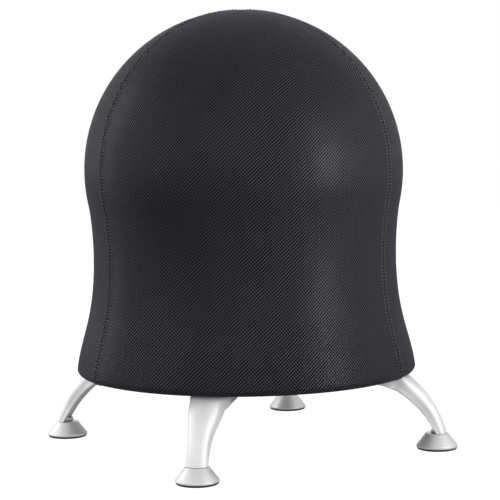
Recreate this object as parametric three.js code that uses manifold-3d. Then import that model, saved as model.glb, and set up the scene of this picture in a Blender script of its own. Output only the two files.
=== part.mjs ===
// Balance ball chair: a sitting ball under a tailored mesh cover, carried by a moulded base pan on
// four curved cast legs with levelling feet. Millimetres, +Z up. The origin is on the floor below
// the middle of the ball. The legs stand along -Y (front), +X (right), +Y (back) and -X (left).

import * as THREE from "three";
import { mergeVertices, toCreasedNormals } from "three/addons/utils/BufferGeometryUtils.js";
import Module from "manifold-3d";

const wasm = await Module();
wasm.setup();

// Shared clearances
const seatGap = 0.3;
const turningGap = 0.5;
const overrun = 1;
const bond = 0.4;
const mergeDistance = 1e-4;

// Main sizes. The dome's full circle would end a rise above the base's underside, the rim spreads and
// the waist draws in from the dome, and the feet stand a spread outside the rim. The seat is at 584.
const domeRadius = 213.6;
const undersideHeight = 100;
const domeRise = 56.8;
const waistDrawIn = 10.1;
const rimSpread = 14.6;
const footSpread = 30.6;

// Cover: outer line from the dome to the hem under the base
const coverThickness = 2.5;
const seamGap = 0.35;
const rimRounding = 7;
const waistHeightShare = 0.7123;
const firstSeamAngle = degrees(-134.8);
const leavingAngle = degrees(102);
const rimLean = degrees(8.4);
const drawInShare = { ball: 0.224, waist: 0.29 };
const flareShare = { waist: 0.56, rim: 0.32 };
const goreNames = ["cover_gore_front", "cover_gore_right", "cover_gore_left"];

// Sitting ball, its valve and its plug
const ballClearance = 0.3;
const ballWall = 2;
const valveRadius = 4.5;
const valveBossRadius = 12;
const valveBossRise = 4;
const plugCapRadius = 8;
const plugCapThickness = 2.5;
const plugStemLength = 13;
const plugTaper = 0.8;
const plugGripRadius = 3;
const plugGripDepth = 1.2;

// Base pan moulding
const panWall = 3.5;
const panRimWall = 2.4;
const panLedge = 38;
const cradleInset = 26;
const cradleLean = 13;
const cradleLipOutward = 8;
const cradleLipInward = 18;
const cradleClearance = 0.6;
const ribThickness = 3;
const ribHeight = 62;
const ribSetback = 15.2;
const ribEndHeight = 6;
const ribCount = 12;
const bossRadius = 9.5;
const bossRoof = 6.9;

// Leg fixings
const boltInset = 24.5;
const boltSpacing = 28;
const boltRadius = 4;
const boltLength = 20;
const boltHeadRadius = 7;
const boltHeadHeight = 4.4;
const boltHeadRounding = 1.6;
const boltSocketRadius = 2.9;
const boltSocketDepth = 2.6;
const insertWall = 1.5;
const panInsertLength = 13;

// Cast leg
const legShoulderInset = 13.7;
const legKneeInset = 9.5;
const legKneeDrop = 19.6;
const legTipDepth = 8.2;
const legFootOutside = 12.4;
const legFootInside = 0.8;
const legKneeSlope = degrees(25);
const legFootWidth = 26.5;
const legShoulderWidth = 41;
const legTipWidth = 60;
const legTipMargin = 16;
const legTipPaceShare = 0.6;
const legPlateThickness = 8.5;
const legWidthFromShare = 0.2;
const legWidthToShare = 0.9;
const outerCurveShares = [{ out: 0.135, up: 0.438 }, { out: 0.578, up: 0.845 }];
const innerCurveShares = [{ out: 0.209, up: 0.34 }, { out: 0.543, up: 0.793 }];
const tipCurveShares = { knee: 0.34, tip: 0.27 };
const innerPaceShare = 0.8;
const flankShare = 0.34;
const flankDraftShare = 1.08;
const crownRoundness = 2.3;
const plateSquareness = 5;
const squaringPace = 8;
const legSeatRadius = 13;
const headPocketClearance = 1.2;

// Levelling foot
const bellTopHeight = 21;
const bellTopRadius = 15.4;
const bellBaseRadius = 27.3;
const bellBaseHeight = 2.8;
const bellLipHeight = 1.9;
const bellBevel = 0.8;
const bellWall = 2.5;
const studRadius = 4;
const studHeadRadius = 7.5;
const studHeadThickness = 3;
const studReach = 20;
const studTipBevel = 0.8;
const nutAcrossFlats = 14.6;
const nutHeight = 5.5;
const nutPocketClearance = 0.4;
const footInsertLength = 9;
const padInset = 0.9;
const padEdge = 0.8;
const padPlugRise = 7;

// Closure under the base: zip tape, coil, slider and pull tab
const closureInset = 6;
const tapeWidth = 16;
const tapeThickness = 0.8;
const coilWidth = 5;
const coilDepth = 2;
const coilTravel = degrees(300);
const coilStart = degrees(130);
const hemOverlap = 5;
const sliderLength = 15;
const sliderNose = 8;
const sliderWall = 1.7;
const sliderPlate = 1.7;
const sliderLead = degrees(6);
const pullPinRadius = 1;
const pullPinDrop = 2.4;
const pullBarrelRadius = 2;
const pullBarrelLength = 5;
const pullEarThickness = 1.3;
const pullWidth = 8;
const pullLength = 24;
const pullThickness = 1.6;
const pullNeck = 4.6;
const pullHoleRadius = 2;

// Facets round a turned piece, and steps along a curve
const goreSteps = 13;
const panFacets = 3 * goreSteps;
const ballFacets = 28;
const bellFacets = 18;
const boreFacets = 16;
const boltFacets = 10;
const tapeFacets = 38;
const domeSteps = 13;
const drawInSteps = 3;
const flareSteps = 7;
const rimSteps = 4;
const ballSteps = 12;
const cradleSteps = 3;
const legArchSteps = 10;
const legPlateSteps = 4;
const crownSteps = 10;
const outlineSteps = 8;
const bendSteps = 6;

// Radii that follow from the sizes above. The ball fits inside the middles of the cover's facets.
const facetShare = Math.cos(Math.PI / panFacets) * Math.cos(leavingAngle / (2 * domeSteps));
const ballRadius = (domeRadius - coverThickness) * facetShare - ballClearance;
const waistRadius = domeRadius - waistDrawIn;
const rimRadius = domeRadius + rimSpread;
const footCircleRadius = rimRadius + footSpread;
const legShoulderRadius = rimRadius - legShoulderInset;
const legKneeRadius = legShoulderRadius - legKneeInset;
const boltPlaces = {
  inner: legShoulderRadius - boltInset - boltSpacing,
  outer: legShoulderRadius - boltInset,
};
const legTipRadius = boltPlaces.inner - legTipMargin;
const closureRadius = legTipRadius - closureInset - tapeWidth / 2;
const hemRadius = closureRadius + tapeWidth / 2 - hemOverlap;
const panelRadius = closureRadius - tapeWidth / 2 + hemOverlap;
const cradleFootRadius = boltPlaces.inner - cradleInset;
const cradleNeckRadius = cradleFootRadius - cradleLean;
const cradleLipOuter = cradleNeckRadius + cradleLipOutward;
const cradleLipInner = cradleNeckRadius - cradleLipInward;
const panOpeningRadius = cradleFootRadius - panLedge;
const ribReach = rimRadius - rimRounding - ribSetback;
const nutPocketRadius = nutAcrossFlats / Math.sqrt(3) + nutPocketClearance;

// Heights that follow
const domeCentre = undersideHeight + domeRise + domeRadius;
const panUnderside = undersideHeight + coverThickness + seatGap;
const panFloor = panUnderside + panWall;
const shoulderHeight = undersideHeight - seatGap;
const legSeatHeight = panUnderside - seatGap;
const boltSeatHeight = legSeatHeight - legPlateThickness;
const boltTipHeight = boltSeatHeight - seatGap + boltLength;
const boltHoleTop = Math.max(boltTipHeight, panUnderside + panInsertLength) + 2 * seatGap;
const legFootHeight = bellTopHeight + seatGap;
const nutPocketHeight = legFootHeight + nutHeight + turningGap;
const footInsertTop = nutPocketHeight + footInsertLength + 2 * seatGap;

function degrees(angle) {
  return THREE.MathUtils.degToRad(angle);
}

// Finishes
const finishes = {
  mesh: { color: 0x26252c, roughness: 0.95, metalness: 0 },
  lining: { color: 0x1c1c20, roughness: 0.9, metalness: 0 },
  ball: { color: 0x5d6268, roughness: 0.45, metalness: 0 },
  plug: { color: 0xe8e8e4, roughness: 0.5, metalness: 0 },
  moulding: { color: 0x1b1b1d, roughness: 0.6, metalness: 0 },
  casting: { color: 0xdadbdf, roughness: 0.35, metalness: 0.6 },
  steel: { color: 0x9c9da0, roughness: 0.35, metalness: 0.9 },
  brass: { color: 0xb59a52, roughness: 0.35, metalness: 0.9 },
  rubber: { color: 0x161616, roughness: 0.85, metalness: 0 },
  zip: { color: 0x202024, roughness: 0.8, metalness: 0 },
};

// Solids: a closed geometry becomes a solid that can be joined and cut, and goes back again

function facingOut(position, triangles) {
  const [a, b, c] = [new THREE.Vector3(), new THREE.Vector3(), new THREE.Vector3()];
  let volume = 0;
  for (let corner = 0; corner < triangles.length; corner += 3) {
    a.fromBufferAttribute(position, triangles[corner]);
    b.fromBufferAttribute(position, triangles[corner + 1]);
    c.fromBufferAttribute(position, triangles[corner + 2]);
    volume += a.dot(b.cross(c));
  }
  return volume < 0 ? triangles.reverse() : triangles;
}

function solid(geometry) {
  const bare = new THREE.BufferGeometry();
  bare.setAttribute("position", geometry.getAttribute("position"));
  bare.setIndex(geometry.index);
  const merged = mergeVertices(bare, mergeDistance);
  const corners = merged.index.array;
  const triangles = [];
  for (let corner = 0; corner < corners.length; corner += 3) {
    const [a, b, c] = corners.slice(corner, corner + 3);
    if (a !== b && b !== c && c !== a) triangles.push(a, b, c);
  }
  const position = merged.getAttribute("position");
  return new wasm.Manifold(
    new wasm.Mesh({
      numProp: 3,
      vertProperties: position.array,
      triVerts: new Uint32Array(facingOut(position, triangles)),
    }),
  );
}

function geometryOf(shape) {
  const made = shape.getMesh();
  const geometry = new THREE.BufferGeometry();
  geometry.setAttribute("position", new THREE.BufferAttribute(made.vertProperties, 3));
  geometry.setIndex(new THREE.BufferAttribute(made.triVerts, 1));
  return toCreasedNormals(geometry, degrees(35));
}

const join = (shapes) => shapes.reduce((whole, next) => whole.add(next));

const cut = (shape, cutters) => cutters.reduce((rest, cutter) => rest.subtract(cutter), shape);

// Geometry builders

const at = (radius, height) => new THREE.Vector2(radius, height);

function turned(line, facets, startAngle = 0) {
  return new THREE.LatheGeometry(line, facets, startAngle + Math.PI / 2).rotateX(Math.PI / 2);
}

// A ring whose section closes on itself.
const turnedRing = (section, facets, startAngle = 0) =>
  turned([...section, section[0]], facets, startAngle);

// Its facets start on the same side as a turned piece's, so that one fits evenly in the other.
function standingCylinder(x, y, low, high, radius, facets = bellFacets) {
  return solid(
    new THREE.CylinderGeometry(radius, radius, high - low, facets, 1, false, Math.PI / 2)
      .rotateX(Math.PI / 2)
      .translate(x, y, (low + high) / 2),
  );
}

function raised(outline, low, high, curveSegments = outlineSteps) {
  const depth = high - low;
  return new THREE.ExtrudeGeometry(outline, { depth, bevelEnabled: false, curveSegments })
    .translate(0, 0, low);
}

// An outline drawn in radius and height, given a thickness across that plane.
function standing(outline, thickness, curveSegments = outlineSteps) {
  return new THREE.ExtrudeGeometry(outline, {
    depth: thickness,
    bevelEnabled: false,
    curveSegments,
  })
    .rotateX(Math.PI / 2)
    .translate(0, thickness / 2, 0);
}

// A row of equal rings joined into one skin, with the ring's flat outline closing both ends.
function loft(rings, outline) {
  const turn = THREE.ShapeUtils.isClockWise(outline);
  const cap = turn ? [...outline].reverse() : outline;
  const rows = turn ? rings.map((ring) => [...ring].reverse()) : rings;
  const count = cap.length;
  const last = (rows.length - 1) * count;
  const triangles = [];
  for (let row = 0; row + 1 < rows.length; row++) {
    for (let side = 0; side < count; side++) {
      const a = row * count + side;
      const b = row * count + ((side + 1) % count);
      triangles.push(a, b, b + count, a, b + count, a + count);
    }
  }
  for (const [a, b, c] of THREE.ShapeUtils.triangulateShape(cap, [])) {
    triangles.push(c, b, a, last + a, last + b, last + c);
  }
  const geometry = new THREE.BufferGeometry();
  const places = rows.flat().flatMap((point) => point.toArray());
  geometry.setAttribute("position", new THREE.Float32BufferAttribute(places, 3));
  geometry.setIndex(triangles);
  return geometry;
}

// A closed outline swept round the upright axis, its two flat sides set back by half a gap.
function sector(outline, from, to, steps, halfGap) {
  const nearest = halfGap / Math.sin((to - from) / 2);
  const rings = [];
  for (let step = 0; step <= steps; step++) {
    rings.push(
      outline.map((point) => {
        const radius = Math.max(point.x, nearest);
        const setBack = Math.asin(halfGap / radius);
        const angle = THREE.MathUtils.lerp(from + setBack, to - setBack, step / steps);
        return new THREE.Vector3(radius * Math.cos(angle), radius * Math.sin(angle), point.y);
      }),
    );
  }
  return loft(rings, outline);
}

function stadium(from, to, radius) {
  const outline = new THREE.Shape();
  outline.absarc(to, 0, radius, -Math.PI / 2, Math.PI / 2);
  outline.absarc(from, 0, radius, Math.PI / 2, (3 * Math.PI) / 2);
  outline.closePath();
  return outline;
}

// Points along a curve, each moved to the right of the way it runs.
function sampled(curve, steps, inset) {
  return Array.from({ length: steps + 1 }, (_, step) => {
    const share = step / steps;
    const way = curve.getTangent(share);
    const point = curve.getPoint(share);
    return at(Math.max(point.x + way.y * inset, 0), point.y - way.x * inset);
  });
}

function joined(stretches) {
  return stretches.flatMap((points, index) => (index ? points.slice(1) : points));
}

// Leg directions
const legPlaces = [
  { side: "front", angle: degrees(-90) },
  { side: "right", angle: 0 },
  { side: "back", angle: degrees(90) },
  { side: "left", angle: degrees(180) },
];

function quarterTurned(shape, angle) {
  return shape.rotate([0, 0, THREE.MathUtils.radToDeg(angle)]);
}

// Cover

function coverCurves() {
  const rimCentre = at(rimRadius - rimRounding, undersideHeight + rimRounding);
  const leaving = at(Math.sin(leavingAngle), Math.cos(leavingAngle))
    .multiplyScalar(domeRadius)
    .add(at(0, domeCentre));
  const fall = at(Math.cos(leavingAngle), -Math.sin(leavingAngle));
  const waist = at(
    waistRadius,
    THREE.MathUtils.lerp(undersideHeight, leaving.y, waistHeightShare),
  );
  const landing = at(Math.cos(rimLean), Math.sin(rimLean)).multiplyScalar(rimRounding).add(rimCentre);
  const lean = at(-Math.sin(rimLean), Math.cos(rimLean));
  const drawIn = leaving.y - waist.y;
  const flare = waist.y - landing.y;
  return {
    dome: new THREE.EllipseCurve(
      0, domeCentre, domeRadius, domeRadius, Math.PI / 2, Math.PI / 2 - leavingAngle, true,
    ),
    drawIn: new THREE.CubicBezierCurve(
      leaving,
      fall.clone().multiplyScalar(drawInShare.ball * drawIn).add(leaving),
      at(waist.x, waist.y + drawInShare.waist * drawIn),
      waist,
    ),
    flare: new THREE.CubicBezierCurve(
      waist,
      at(waist.x, waist.y - flareShare.waist * flare),
      lean.clone().multiplyScalar(flareShare.rim * flare).add(landing),
      landing,
    ),
    rim: new THREE.EllipseCurve(
      rimCentre.x, rimCentre.y, rimRounding, rimRounding, rimLean, -Math.PI / 2, true,
    ),
    under: new THREE.LineCurve(at(rimCentre.x, undersideHeight), at(hemRadius, undersideHeight)),
  };
}

function coverLine(inset) {
  const curves = coverCurves();
  return joined([
    sampled(curves.dome, domeSteps, inset),
    sampled(curves.drawIn, drawInSteps, inset),
    sampled(curves.flare, flareSteps, inset),
    sampled(curves.rim, rimSteps, inset),
    sampled(curves.under, 1, inset),
  ]);
}

function coverGore(from) {
  const outline = [...coverLine(0), ...coverLine(coverThickness).reverse()];
  const gore = solid(sector(outline, from, from + degrees(120), goreSteps, seamGap / 2));
  const window = solid(
    raised(
      stadium(boltPlaces.inner, boltPlaces.outer, legSeatRadius + turningGap),
      undersideHeight - overrun,
      undersideHeight + coverThickness + overrun,
    ),
  );
  const underneath = legPlaces.map(({ angle }) => quarterTurned(window, angle));
  return geometryOf(cut(gore, underneath));
}

function bottomPanel() {
  const line = [
    at(0, undersideHeight),
    at(panelRadius, undersideHeight),
    at(panelRadius, undersideHeight + coverThickness),
    at(0, undersideHeight + coverThickness),
  ];
  return geometryOf(solid(turned(line, panFacets)));
}

// Sitting ball and plug

const ballArc = (radius, fromAngle, toAngle, steps) =>
  sampled(
    new THREE.EllipseCurve(0, domeCentre, radius, radius, fromAngle, toAngle, fromAngle > toAngle),
    steps,
    0,
  );

const ballHeight = (radius, atRadius) => domeCentre - Math.sqrt(radius ** 2 - atRadius ** 2);

function ball() {
  const inside = ballRadius - ballWall;
  const boss = inside - valveBossRise;
  const top = Math.PI / 2;
  const line = [
    ...ballArc(ballRadius, top, -Math.acos(valveRadius / ballRadius), ballSteps),
    at(valveRadius, ballHeight(boss, valveRadius)),
    at(valveBossRadius, ballHeight(boss, valveBossRadius)),
    ...ballArc(inside, -Math.acos(valveBossRadius / inside), top, ballSteps - 1),
  ];
  line[0].x = 0;
  line[line.length - 1].x = 0;
  return geometryOf(solid(turned(line, ballFacets)));
}

function ballPlug() {
  const top = ballHeight(ballRadius, 0) - seatGap;
  const low = top - plugCapThickness;
  const stem = valveRadius - seatGap;
  const line = [
    at(0, low + plugGripDepth),
    at(plugGripRadius, low + plugGripDepth),
    at(plugGripRadius + plugGripDepth / 2, low),
    at(plugCapRadius - plugGripDepth / 2, low),
    at(plugCapRadius, low + plugGripDepth / 2),
    at(plugCapRadius, top),
    at(stem, top),
    at(stem - plugTaper, top + plugStemLength),
    at(0, top + plugStemLength),
  ];
  return geometryOf(solid(turned(line, boltFacets)));
}

// Base pan: one moulding with a curled rim, an access opening, a raised cradle and gussets

function panLine() {
  const rimCentre = at(rimRadius - rimRounding, undersideHeight + rimRounding);
  const curl = rimRounding - coverThickness - seatGap;
  const seat = ballRadius + cradleClearance;
  const under = seat + panWall;
  const rimArc = (radius, from, to) =>
    sampled(
      new THREE.EllipseCurve(rimCentre.x, rimCentre.y, radius, radius, from, to, from > to),
      rimSteps,
      0,
    );
  const neckInner = cradleNeckRadius - panWall;
  return [
    at(panOpeningRadius, panUnderside),
    ...rimArc(curl, -Math.PI / 2, Math.PI / 2),
    ...rimArc(curl - panRimWall, Math.PI / 2, -Math.PI / 2),
    at(rimCentre.x - panWall, panFloor),
    at(cradleFootRadius, panFloor),
    at(cradleNeckRadius, ballHeight(under, cradleNeckRadius)),
    at(cradleLipOuter, ballHeight(under, cradleLipOuter)),
    ...ballArc(
      seat, -Math.acos(cradleLipOuter / seat), -Math.acos(cradleLipInner / seat), cradleSteps,
    ),
    at(cradleLipInner, ballHeight(under, cradleLipInner)),
    at(neckInner, ballHeight(under, neckInner)),
    at(cradleFootRadius - panWall, panFloor),
    at(panOpeningRadius, panFloor),
  ];
}

function panGusset() {
  const root = cradleFootRadius - panWall / 2;
  const top = panFloor + ribHeight;
  const wallRun = ballHeight(ballRadius, cradleNeckRadius) - panFloor;
  const lean = cradleLean / wallRun;
  const crest = root - lean * ribHeight;
  const outline = new THREE.Shape();
  outline.moveTo(root, panFloor - bond);
  outline.lineTo(ribReach, panFloor - bond);
  outline.lineTo(ribReach, panFloor + ribEndHeight);
  outline.quadraticCurveTo(
    cradleFootRadius + ribEndHeight, panFloor + ribEndHeight, crest + panWall, top,
  );
  outline.lineTo(crest, top);
  outline.closePath();
  return solid(standing(outline, ribThickness, bendSteps));
}

function basePan() {
  const shell = solid(turnedRing(panLine(), panFacets, firstSeamAngle));
  const gusset = panGusset();
  const gussets = Array.from({ length: ribCount }, (_, index) =>
    quarterTurned(gusset, ((index + 0.5) * 2 * Math.PI) / ribCount),
  );
  const bosses = [];
  const holes = [];
  for (const { angle } of legPlaces) {
    for (const radius of Object.values(boltPlaces)) {
      const boss = standingCylinder(
        radius, 0, panFloor - bond, boltHoleTop + bossRoof, bossRadius, boreFacets,
      );
      const hole = standingCylinder(
        radius, 0, panUnderside - overrun, boltHoleTop, boltRadius + insertWall + seatGap, boltFacets,
      );
      bosses.push(quarterTurned(boss, angle));
      holes.push(quarterTurned(hole, angle));
    }
  }
  return geometryOf(cut(join([shell, ...gussets, ...bosses]), holes));
}

// Legs

function legCurves() {
  const foot = at(footCircleRadius + legFootOutside, legFootHeight);
  const heel = at(footCircleRadius + legFootInside, legFootHeight);
  const shoulder = at(legShoulderRadius, shoulderHeight);
  const knee = at(legKneeRadius, shoulderHeight - legKneeDrop);
  const tip = at(legTipRadius, shoulderHeight - legTipDepth);
  const between = (from, to, { out, up }) =>
    at(THREE.MathUtils.lerp(from.x, to.x, out), THREE.MathUtils.lerp(from.y, to.y, up));
  const run = knee.x - tip.x;
  const kneeWay = at(-Math.cos(legKneeSlope), Math.sin(legKneeSlope));
  return {
    archOuter: new THREE.CubicBezierCurve(
      foot, ...outerCurveShares.map((share) => between(foot, shoulder, share)), shoulder,
    ),
    archInner: new THREE.CubicBezierCurve(
      heel, ...innerCurveShares.map((share) => between(heel, knee, share)), knee,
    ),
    plateOuter: new THREE.LineCurve(shoulder, at(tip.x, shoulder.y)),
    plateInner: new THREE.CubicBezierCurve(
      knee,
      kneeWay.clone().multiplyScalar(tipCurveShares.knee * run).add(knee),
      at(tip.x + tipCurveShares.tip * run, tip.y),
      tip,
    ),
  };
}

// One section: a flat inner face, drafted flanks and a crown that turns from round to square.
function legSection(outer, inner, width, squareness) {
  const outline = [];
  for (let step = 0; step <= crownSteps; step++) {
    const turn = (step / crownSteps) * Math.PI;
    const [side, lift] = [Math.cos(turn), Math.sin(turn)].map(
      (value) => Math.sign(value) * Math.abs(value) ** (2 / squareness),
    );
    outline.push(at((side * width) / 2, flankShare + (1 - flankShare) * lift));
  }
  const foot = (flankDraftShare * width) / 2;
  outline.push(at(-foot, 0), at(foot, 0));
  return outline.map(({ x: side, y: share }) => {
    const point = new THREE.Vector2().lerpVectors(inner, outer, share);
    return new THREE.Vector3(point.x, side, point.y);
  });
}

function legBody() {
  const curves = legCurves();
  const sections = [];
  for (let step = 0; step <= legArchSteps; step++) {
    const share = step / legArchSteps;
    const widening = THREE.MathUtils.smoothstep(share, legWidthFromShare, legWidthToShare);
    sections.push(
      legSection(
        curves.archOuter.getPoint(share),
        curves.archInner.getPoint(share ** innerPaceShare),
        THREE.MathUtils.lerp(legFootWidth, legShoulderWidth, widening),
        THREE.MathUtils.lerp(crownRoundness, plateSquareness, share ** squaringPace),
      ),
    );
  }
  for (let step = 1; step <= legPlateSteps; step++) {
    const share = step / legPlateSteps;
    sections.push(
      legSection(
        curves.plateOuter.getPoint(share),
        curves.plateInner.getPoint(share),
        THREE.MathUtils.lerp(legShoulderWidth, legTipWidth, share ** legTipPaceShare),
        plateSquareness,
      ),
    );
  }
  const cap = sections[0].map((point) => at(point.y, point.x));
  return solid(loft(sections, cap));
}

function legTipTrim() {
  const outline = new THREE.Shape();
  const reach = footCircleRadius + legFootWidth;
  outline.absarc(
    legTipRadius + legTipWidth / 2, 0, legTipWidth / 2, Math.PI / 2, (3 * Math.PI) / 2,
  );
  outline.lineTo(reach, -legTipWidth / 2);
  outline.lineTo(reach, legTipWidth / 2);
  outline.closePath();
  return solid(raised(outline, legFootHeight - overrun, legSeatHeight + overrun));
}

function leg() {
  const seat = solid(
    raised(
      stadium(boltPlaces.inner, boltPlaces.outer, legSeatRadius),
      shoulderHeight - bond,
      legSeatHeight,
    ),
  );
  const drillings = Object.values(boltPlaces).flatMap((radius) => [
    standingCylinder(
      radius, 0, undersideHeight - legShoulderWidth, legSeatHeight + overrun,
      boltRadius + seatGap, boltFacets,
    ),
    standingCylinder(
      radius, 0, undersideHeight - legShoulderWidth, boltSeatHeight,
      boltHeadRadius + headPocketClearance, boreFacets,
    ),
  ]);
  const nutPocket = standingCylinder(
    footCircleRadius, 0, legFootHeight - overrun, nutPocketHeight, nutPocketRadius,
  );
  const insertBore = standingCylinder(
    footCircleRadius, 0, legFootHeight - overrun, footInsertTop,
    studRadius + insertWall + seatGap, boltFacets,
  );
  const studBore = standingCylinder(
    footCircleRadius, 0, legFootHeight - overrun, legFootHeight + studReach + turningGap,
    studRadius + seatGap, boltFacets,
  );
  const casting = join([legBody().intersect(legTipTrim()), seat]);
  return geometryOf(cut(casting, [...drillings, nutPocket, insertBore, studBore]));
}

// Fixings

function threadedInsert(low, length, threadRadius) {
  const bore = threadRadius + seatGap;
  const outside = threadRadius + insertWall;
  const line = [
    at(bore, low),
    at(outside, low),
    at(outside, low + length),
    at(bore, low + length),
  ];
  return geometryOf(solid(turnedRing(line, boltFacets)));
}

function legBolt() {
  const top = boltTipHeight - boltLength;
  const low = top - boltHeadHeight;
  const line = [
    at(0, low + boltSocketDepth),
    at(boltSocketRadius, low + boltSocketDepth),
    at(boltSocketRadius, low),
    at(boltHeadRadius - boltHeadRounding, low),
    at(boltHeadRadius, low + boltHeadRounding),
    at(boltHeadRadius, top),
    at(boltRadius, top),
    at(boltRadius, boltTipHeight),
    at(0, boltTipHeight),
  ];
  return geometryOf(solid(turned(line, boltFacets)));
}

// Levelling foot, on its own upright axis

function footStud() {
  const headTop = bellTopHeight - bellWall - seatGap;
  const top = legFootHeight + studReach;
  const line = [
    at(0, headTop - studHeadThickness),
    at(studHeadRadius, headTop - studHeadThickness),
    at(studHeadRadius, headTop),
    at(studRadius, headTop),
    at(studRadius, top - studTipBevel),
    at(studRadius - studTipBevel, top),
    at(0, top),
  ];
  const nut = new THREE.CylinderGeometry(
    nutAcrossFlats / Math.sqrt(3), nutAcrossFlats / Math.sqrt(3), nutHeight, 6,
  )
    .rotateX(Math.PI / 2)
    .translate(0, 0, legFootHeight + nutHeight / 2);
  return geometryOf(join([solid(turned(line, boltFacets)), solid(nut)]));
}

// The bell's cone: how far it spreads for each unit that it falls.
const bellSpread = () =>
  (bellBaseRadius - bellTopRadius) / (bellTopHeight - bellBevel - bellBaseHeight - bellLipHeight);

function bellInnerRadius(height) {
  const roof = bellTopHeight - bellWall;
  return bellTopRadius - bellWall + bellSpread() * (roof - height);
}

function footBell() {
  const roof = bellTopHeight - bellWall;
  const bore = studRadius + seatGap;
  const line = [
    at(bore, bellTopHeight),
    at(bellTopRadius - bellBevel, bellTopHeight),
    at(bellTopRadius, bellTopHeight - bellBevel),
    at(bellBaseRadius, bellBaseHeight + bellLipHeight),
    at(bellBaseRadius, bellBaseHeight),
    at(bellInnerRadius(bellBaseHeight), bellBaseHeight),
    at(bellInnerRadius(roof), roof),
    at(bore, roof),
  ];
  return geometryOf(solid(turnedRing(line, bellFacets)));
}

function footPad() {
  const top = bellBaseHeight - seatGap;
  const padRadius = bellBaseRadius - padInset;
  const plugFoot = bellInnerRadius(bellBaseHeight) - 2 * seatGap;
  const plugTop = bellInnerRadius(top + padPlugRise) - 2 * seatGap;
  const line = [
    at(0, 0),
    at(padRadius - padEdge, 0),
    at(padRadius, padEdge),
    at(padRadius, top),
    at(plugFoot, top),
    at(plugTop, top + padPlugRise),
    at(0, top + padPlugRise),
  ];
  return geometryOf(solid(turned(line, bellFacets)));
}

// Closure

function zipChain() {
  const top = undersideHeight - seatGap;
  const low = top - tapeThickness;
  const [inside, outside] = [closureRadius - tapeWidth / 2, closureRadius + tapeWidth / 2];
  const tape = [at(inside, low), at(outside, low), at(outside, top), at(inside, top)];
  const coil = [
    at(closureRadius - coilWidth / 2, low + tapeThickness / 2),
    at(closureRadius - coilWidth / 2, low - coilDepth / 2),
    at(closureRadius - coilWidth / 4, low - coilDepth),
    at(closureRadius + coilWidth / 4, low - coilDepth),
    at(closureRadius + coilWidth / 2, low - coilDepth / 2),
    at(closureRadius + coilWidth / 2, low + tapeThickness / 2),
  ];
  const coilRun = sector(coil, coilStart, coilStart + coilTravel, tapeFacets, 0);
  return geometryOf(join([solid(turnedRing(tape, tapeFacets, coilStart)), solid(coilRun)]));
}

const sliderRoof = undersideHeight - seatGap - tapeThickness - seatGap;
const sliderFloor = sliderRoof + seatGap - coilDepth - turningGap;
const pullAxisHeight = sliderFloor - sliderPlate - pullPinDrop;

// The slider is drawn at the closure radius along +X and travels along Y.
function zipSlider() {
  const halfWidth = coilWidth / 2 + turningGap + sliderWall;
  const halfLength = sliderLength / 2;
  const plan = new THREE.Shape();
  plan.moveTo(-halfWidth, -halfLength);
  plan.lineTo(halfWidth, -halfLength);
  plan.lineTo(halfWidth, 0);
  plan.quadraticCurveTo(halfWidth, halfLength, sliderNose / 2, halfLength);
  plan.lineTo(-sliderNose / 2, halfLength);
  plan.quadraticCurveTo(-halfWidth, halfLength, -halfWidth, 0);
  plan.closePath();
  const body = solid(
    raised(plan, sliderFloor - sliderPlate, sliderRoof, bendSteps).translate(closureRadius, 0, 0),
  );
  const channelLine = [
    at(closureRadius - coilWidth / 2 - turningGap, sliderFloor),
    at(closureRadius + coilWidth / 2 + turningGap, sliderFloor),
    at(closureRadius + coilWidth / 2 + turningGap, sliderRoof + overrun),
    at(closureRadius - coilWidth / 2 - turningGap, sliderRoof + overrun),
  ];
  const swing = sliderLength / closureRadius;
  const channel = solid(sector(channelLine, -swing, swing, outlineSteps, 0));
  const earOutline = new THREE.Shape();
  earOutline.moveTo(-pullBarrelRadius, sliderFloor - sliderPlate + bond);
  earOutline.lineTo(-pullBarrelRadius, pullAxisHeight);
  earOutline.absarc(0, pullAxisHeight, pullBarrelRadius, Math.PI, 2 * Math.PI);
  earOutline.lineTo(pullBarrelRadius, sliderFloor - sliderPlate + bond);
  earOutline.closePath();
  const ear = standing(earOutline, pullEarThickness, bendSteps).rotateZ(Math.PI / 2);
  const earOffset = pullBarrelLength / 2 + seatGap + pullEarThickness / 2;
  const ears = [-earOffset, earOffset].map((offset) =>
    solid(ear.clone().translate(closureRadius + offset, 0, 0)),
  );
  const pin = solid(
    new THREE.CylinderGeometry(pullPinRadius, pullPinRadius, 2 * earOffset, boltFacets)
      .rotateZ(Math.PI / 2)
      .translate(closureRadius, 0, pullAxisHeight),
  );
  return geometryOf(join([cut(body, [channel]), ...ears, pin]));
}

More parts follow.
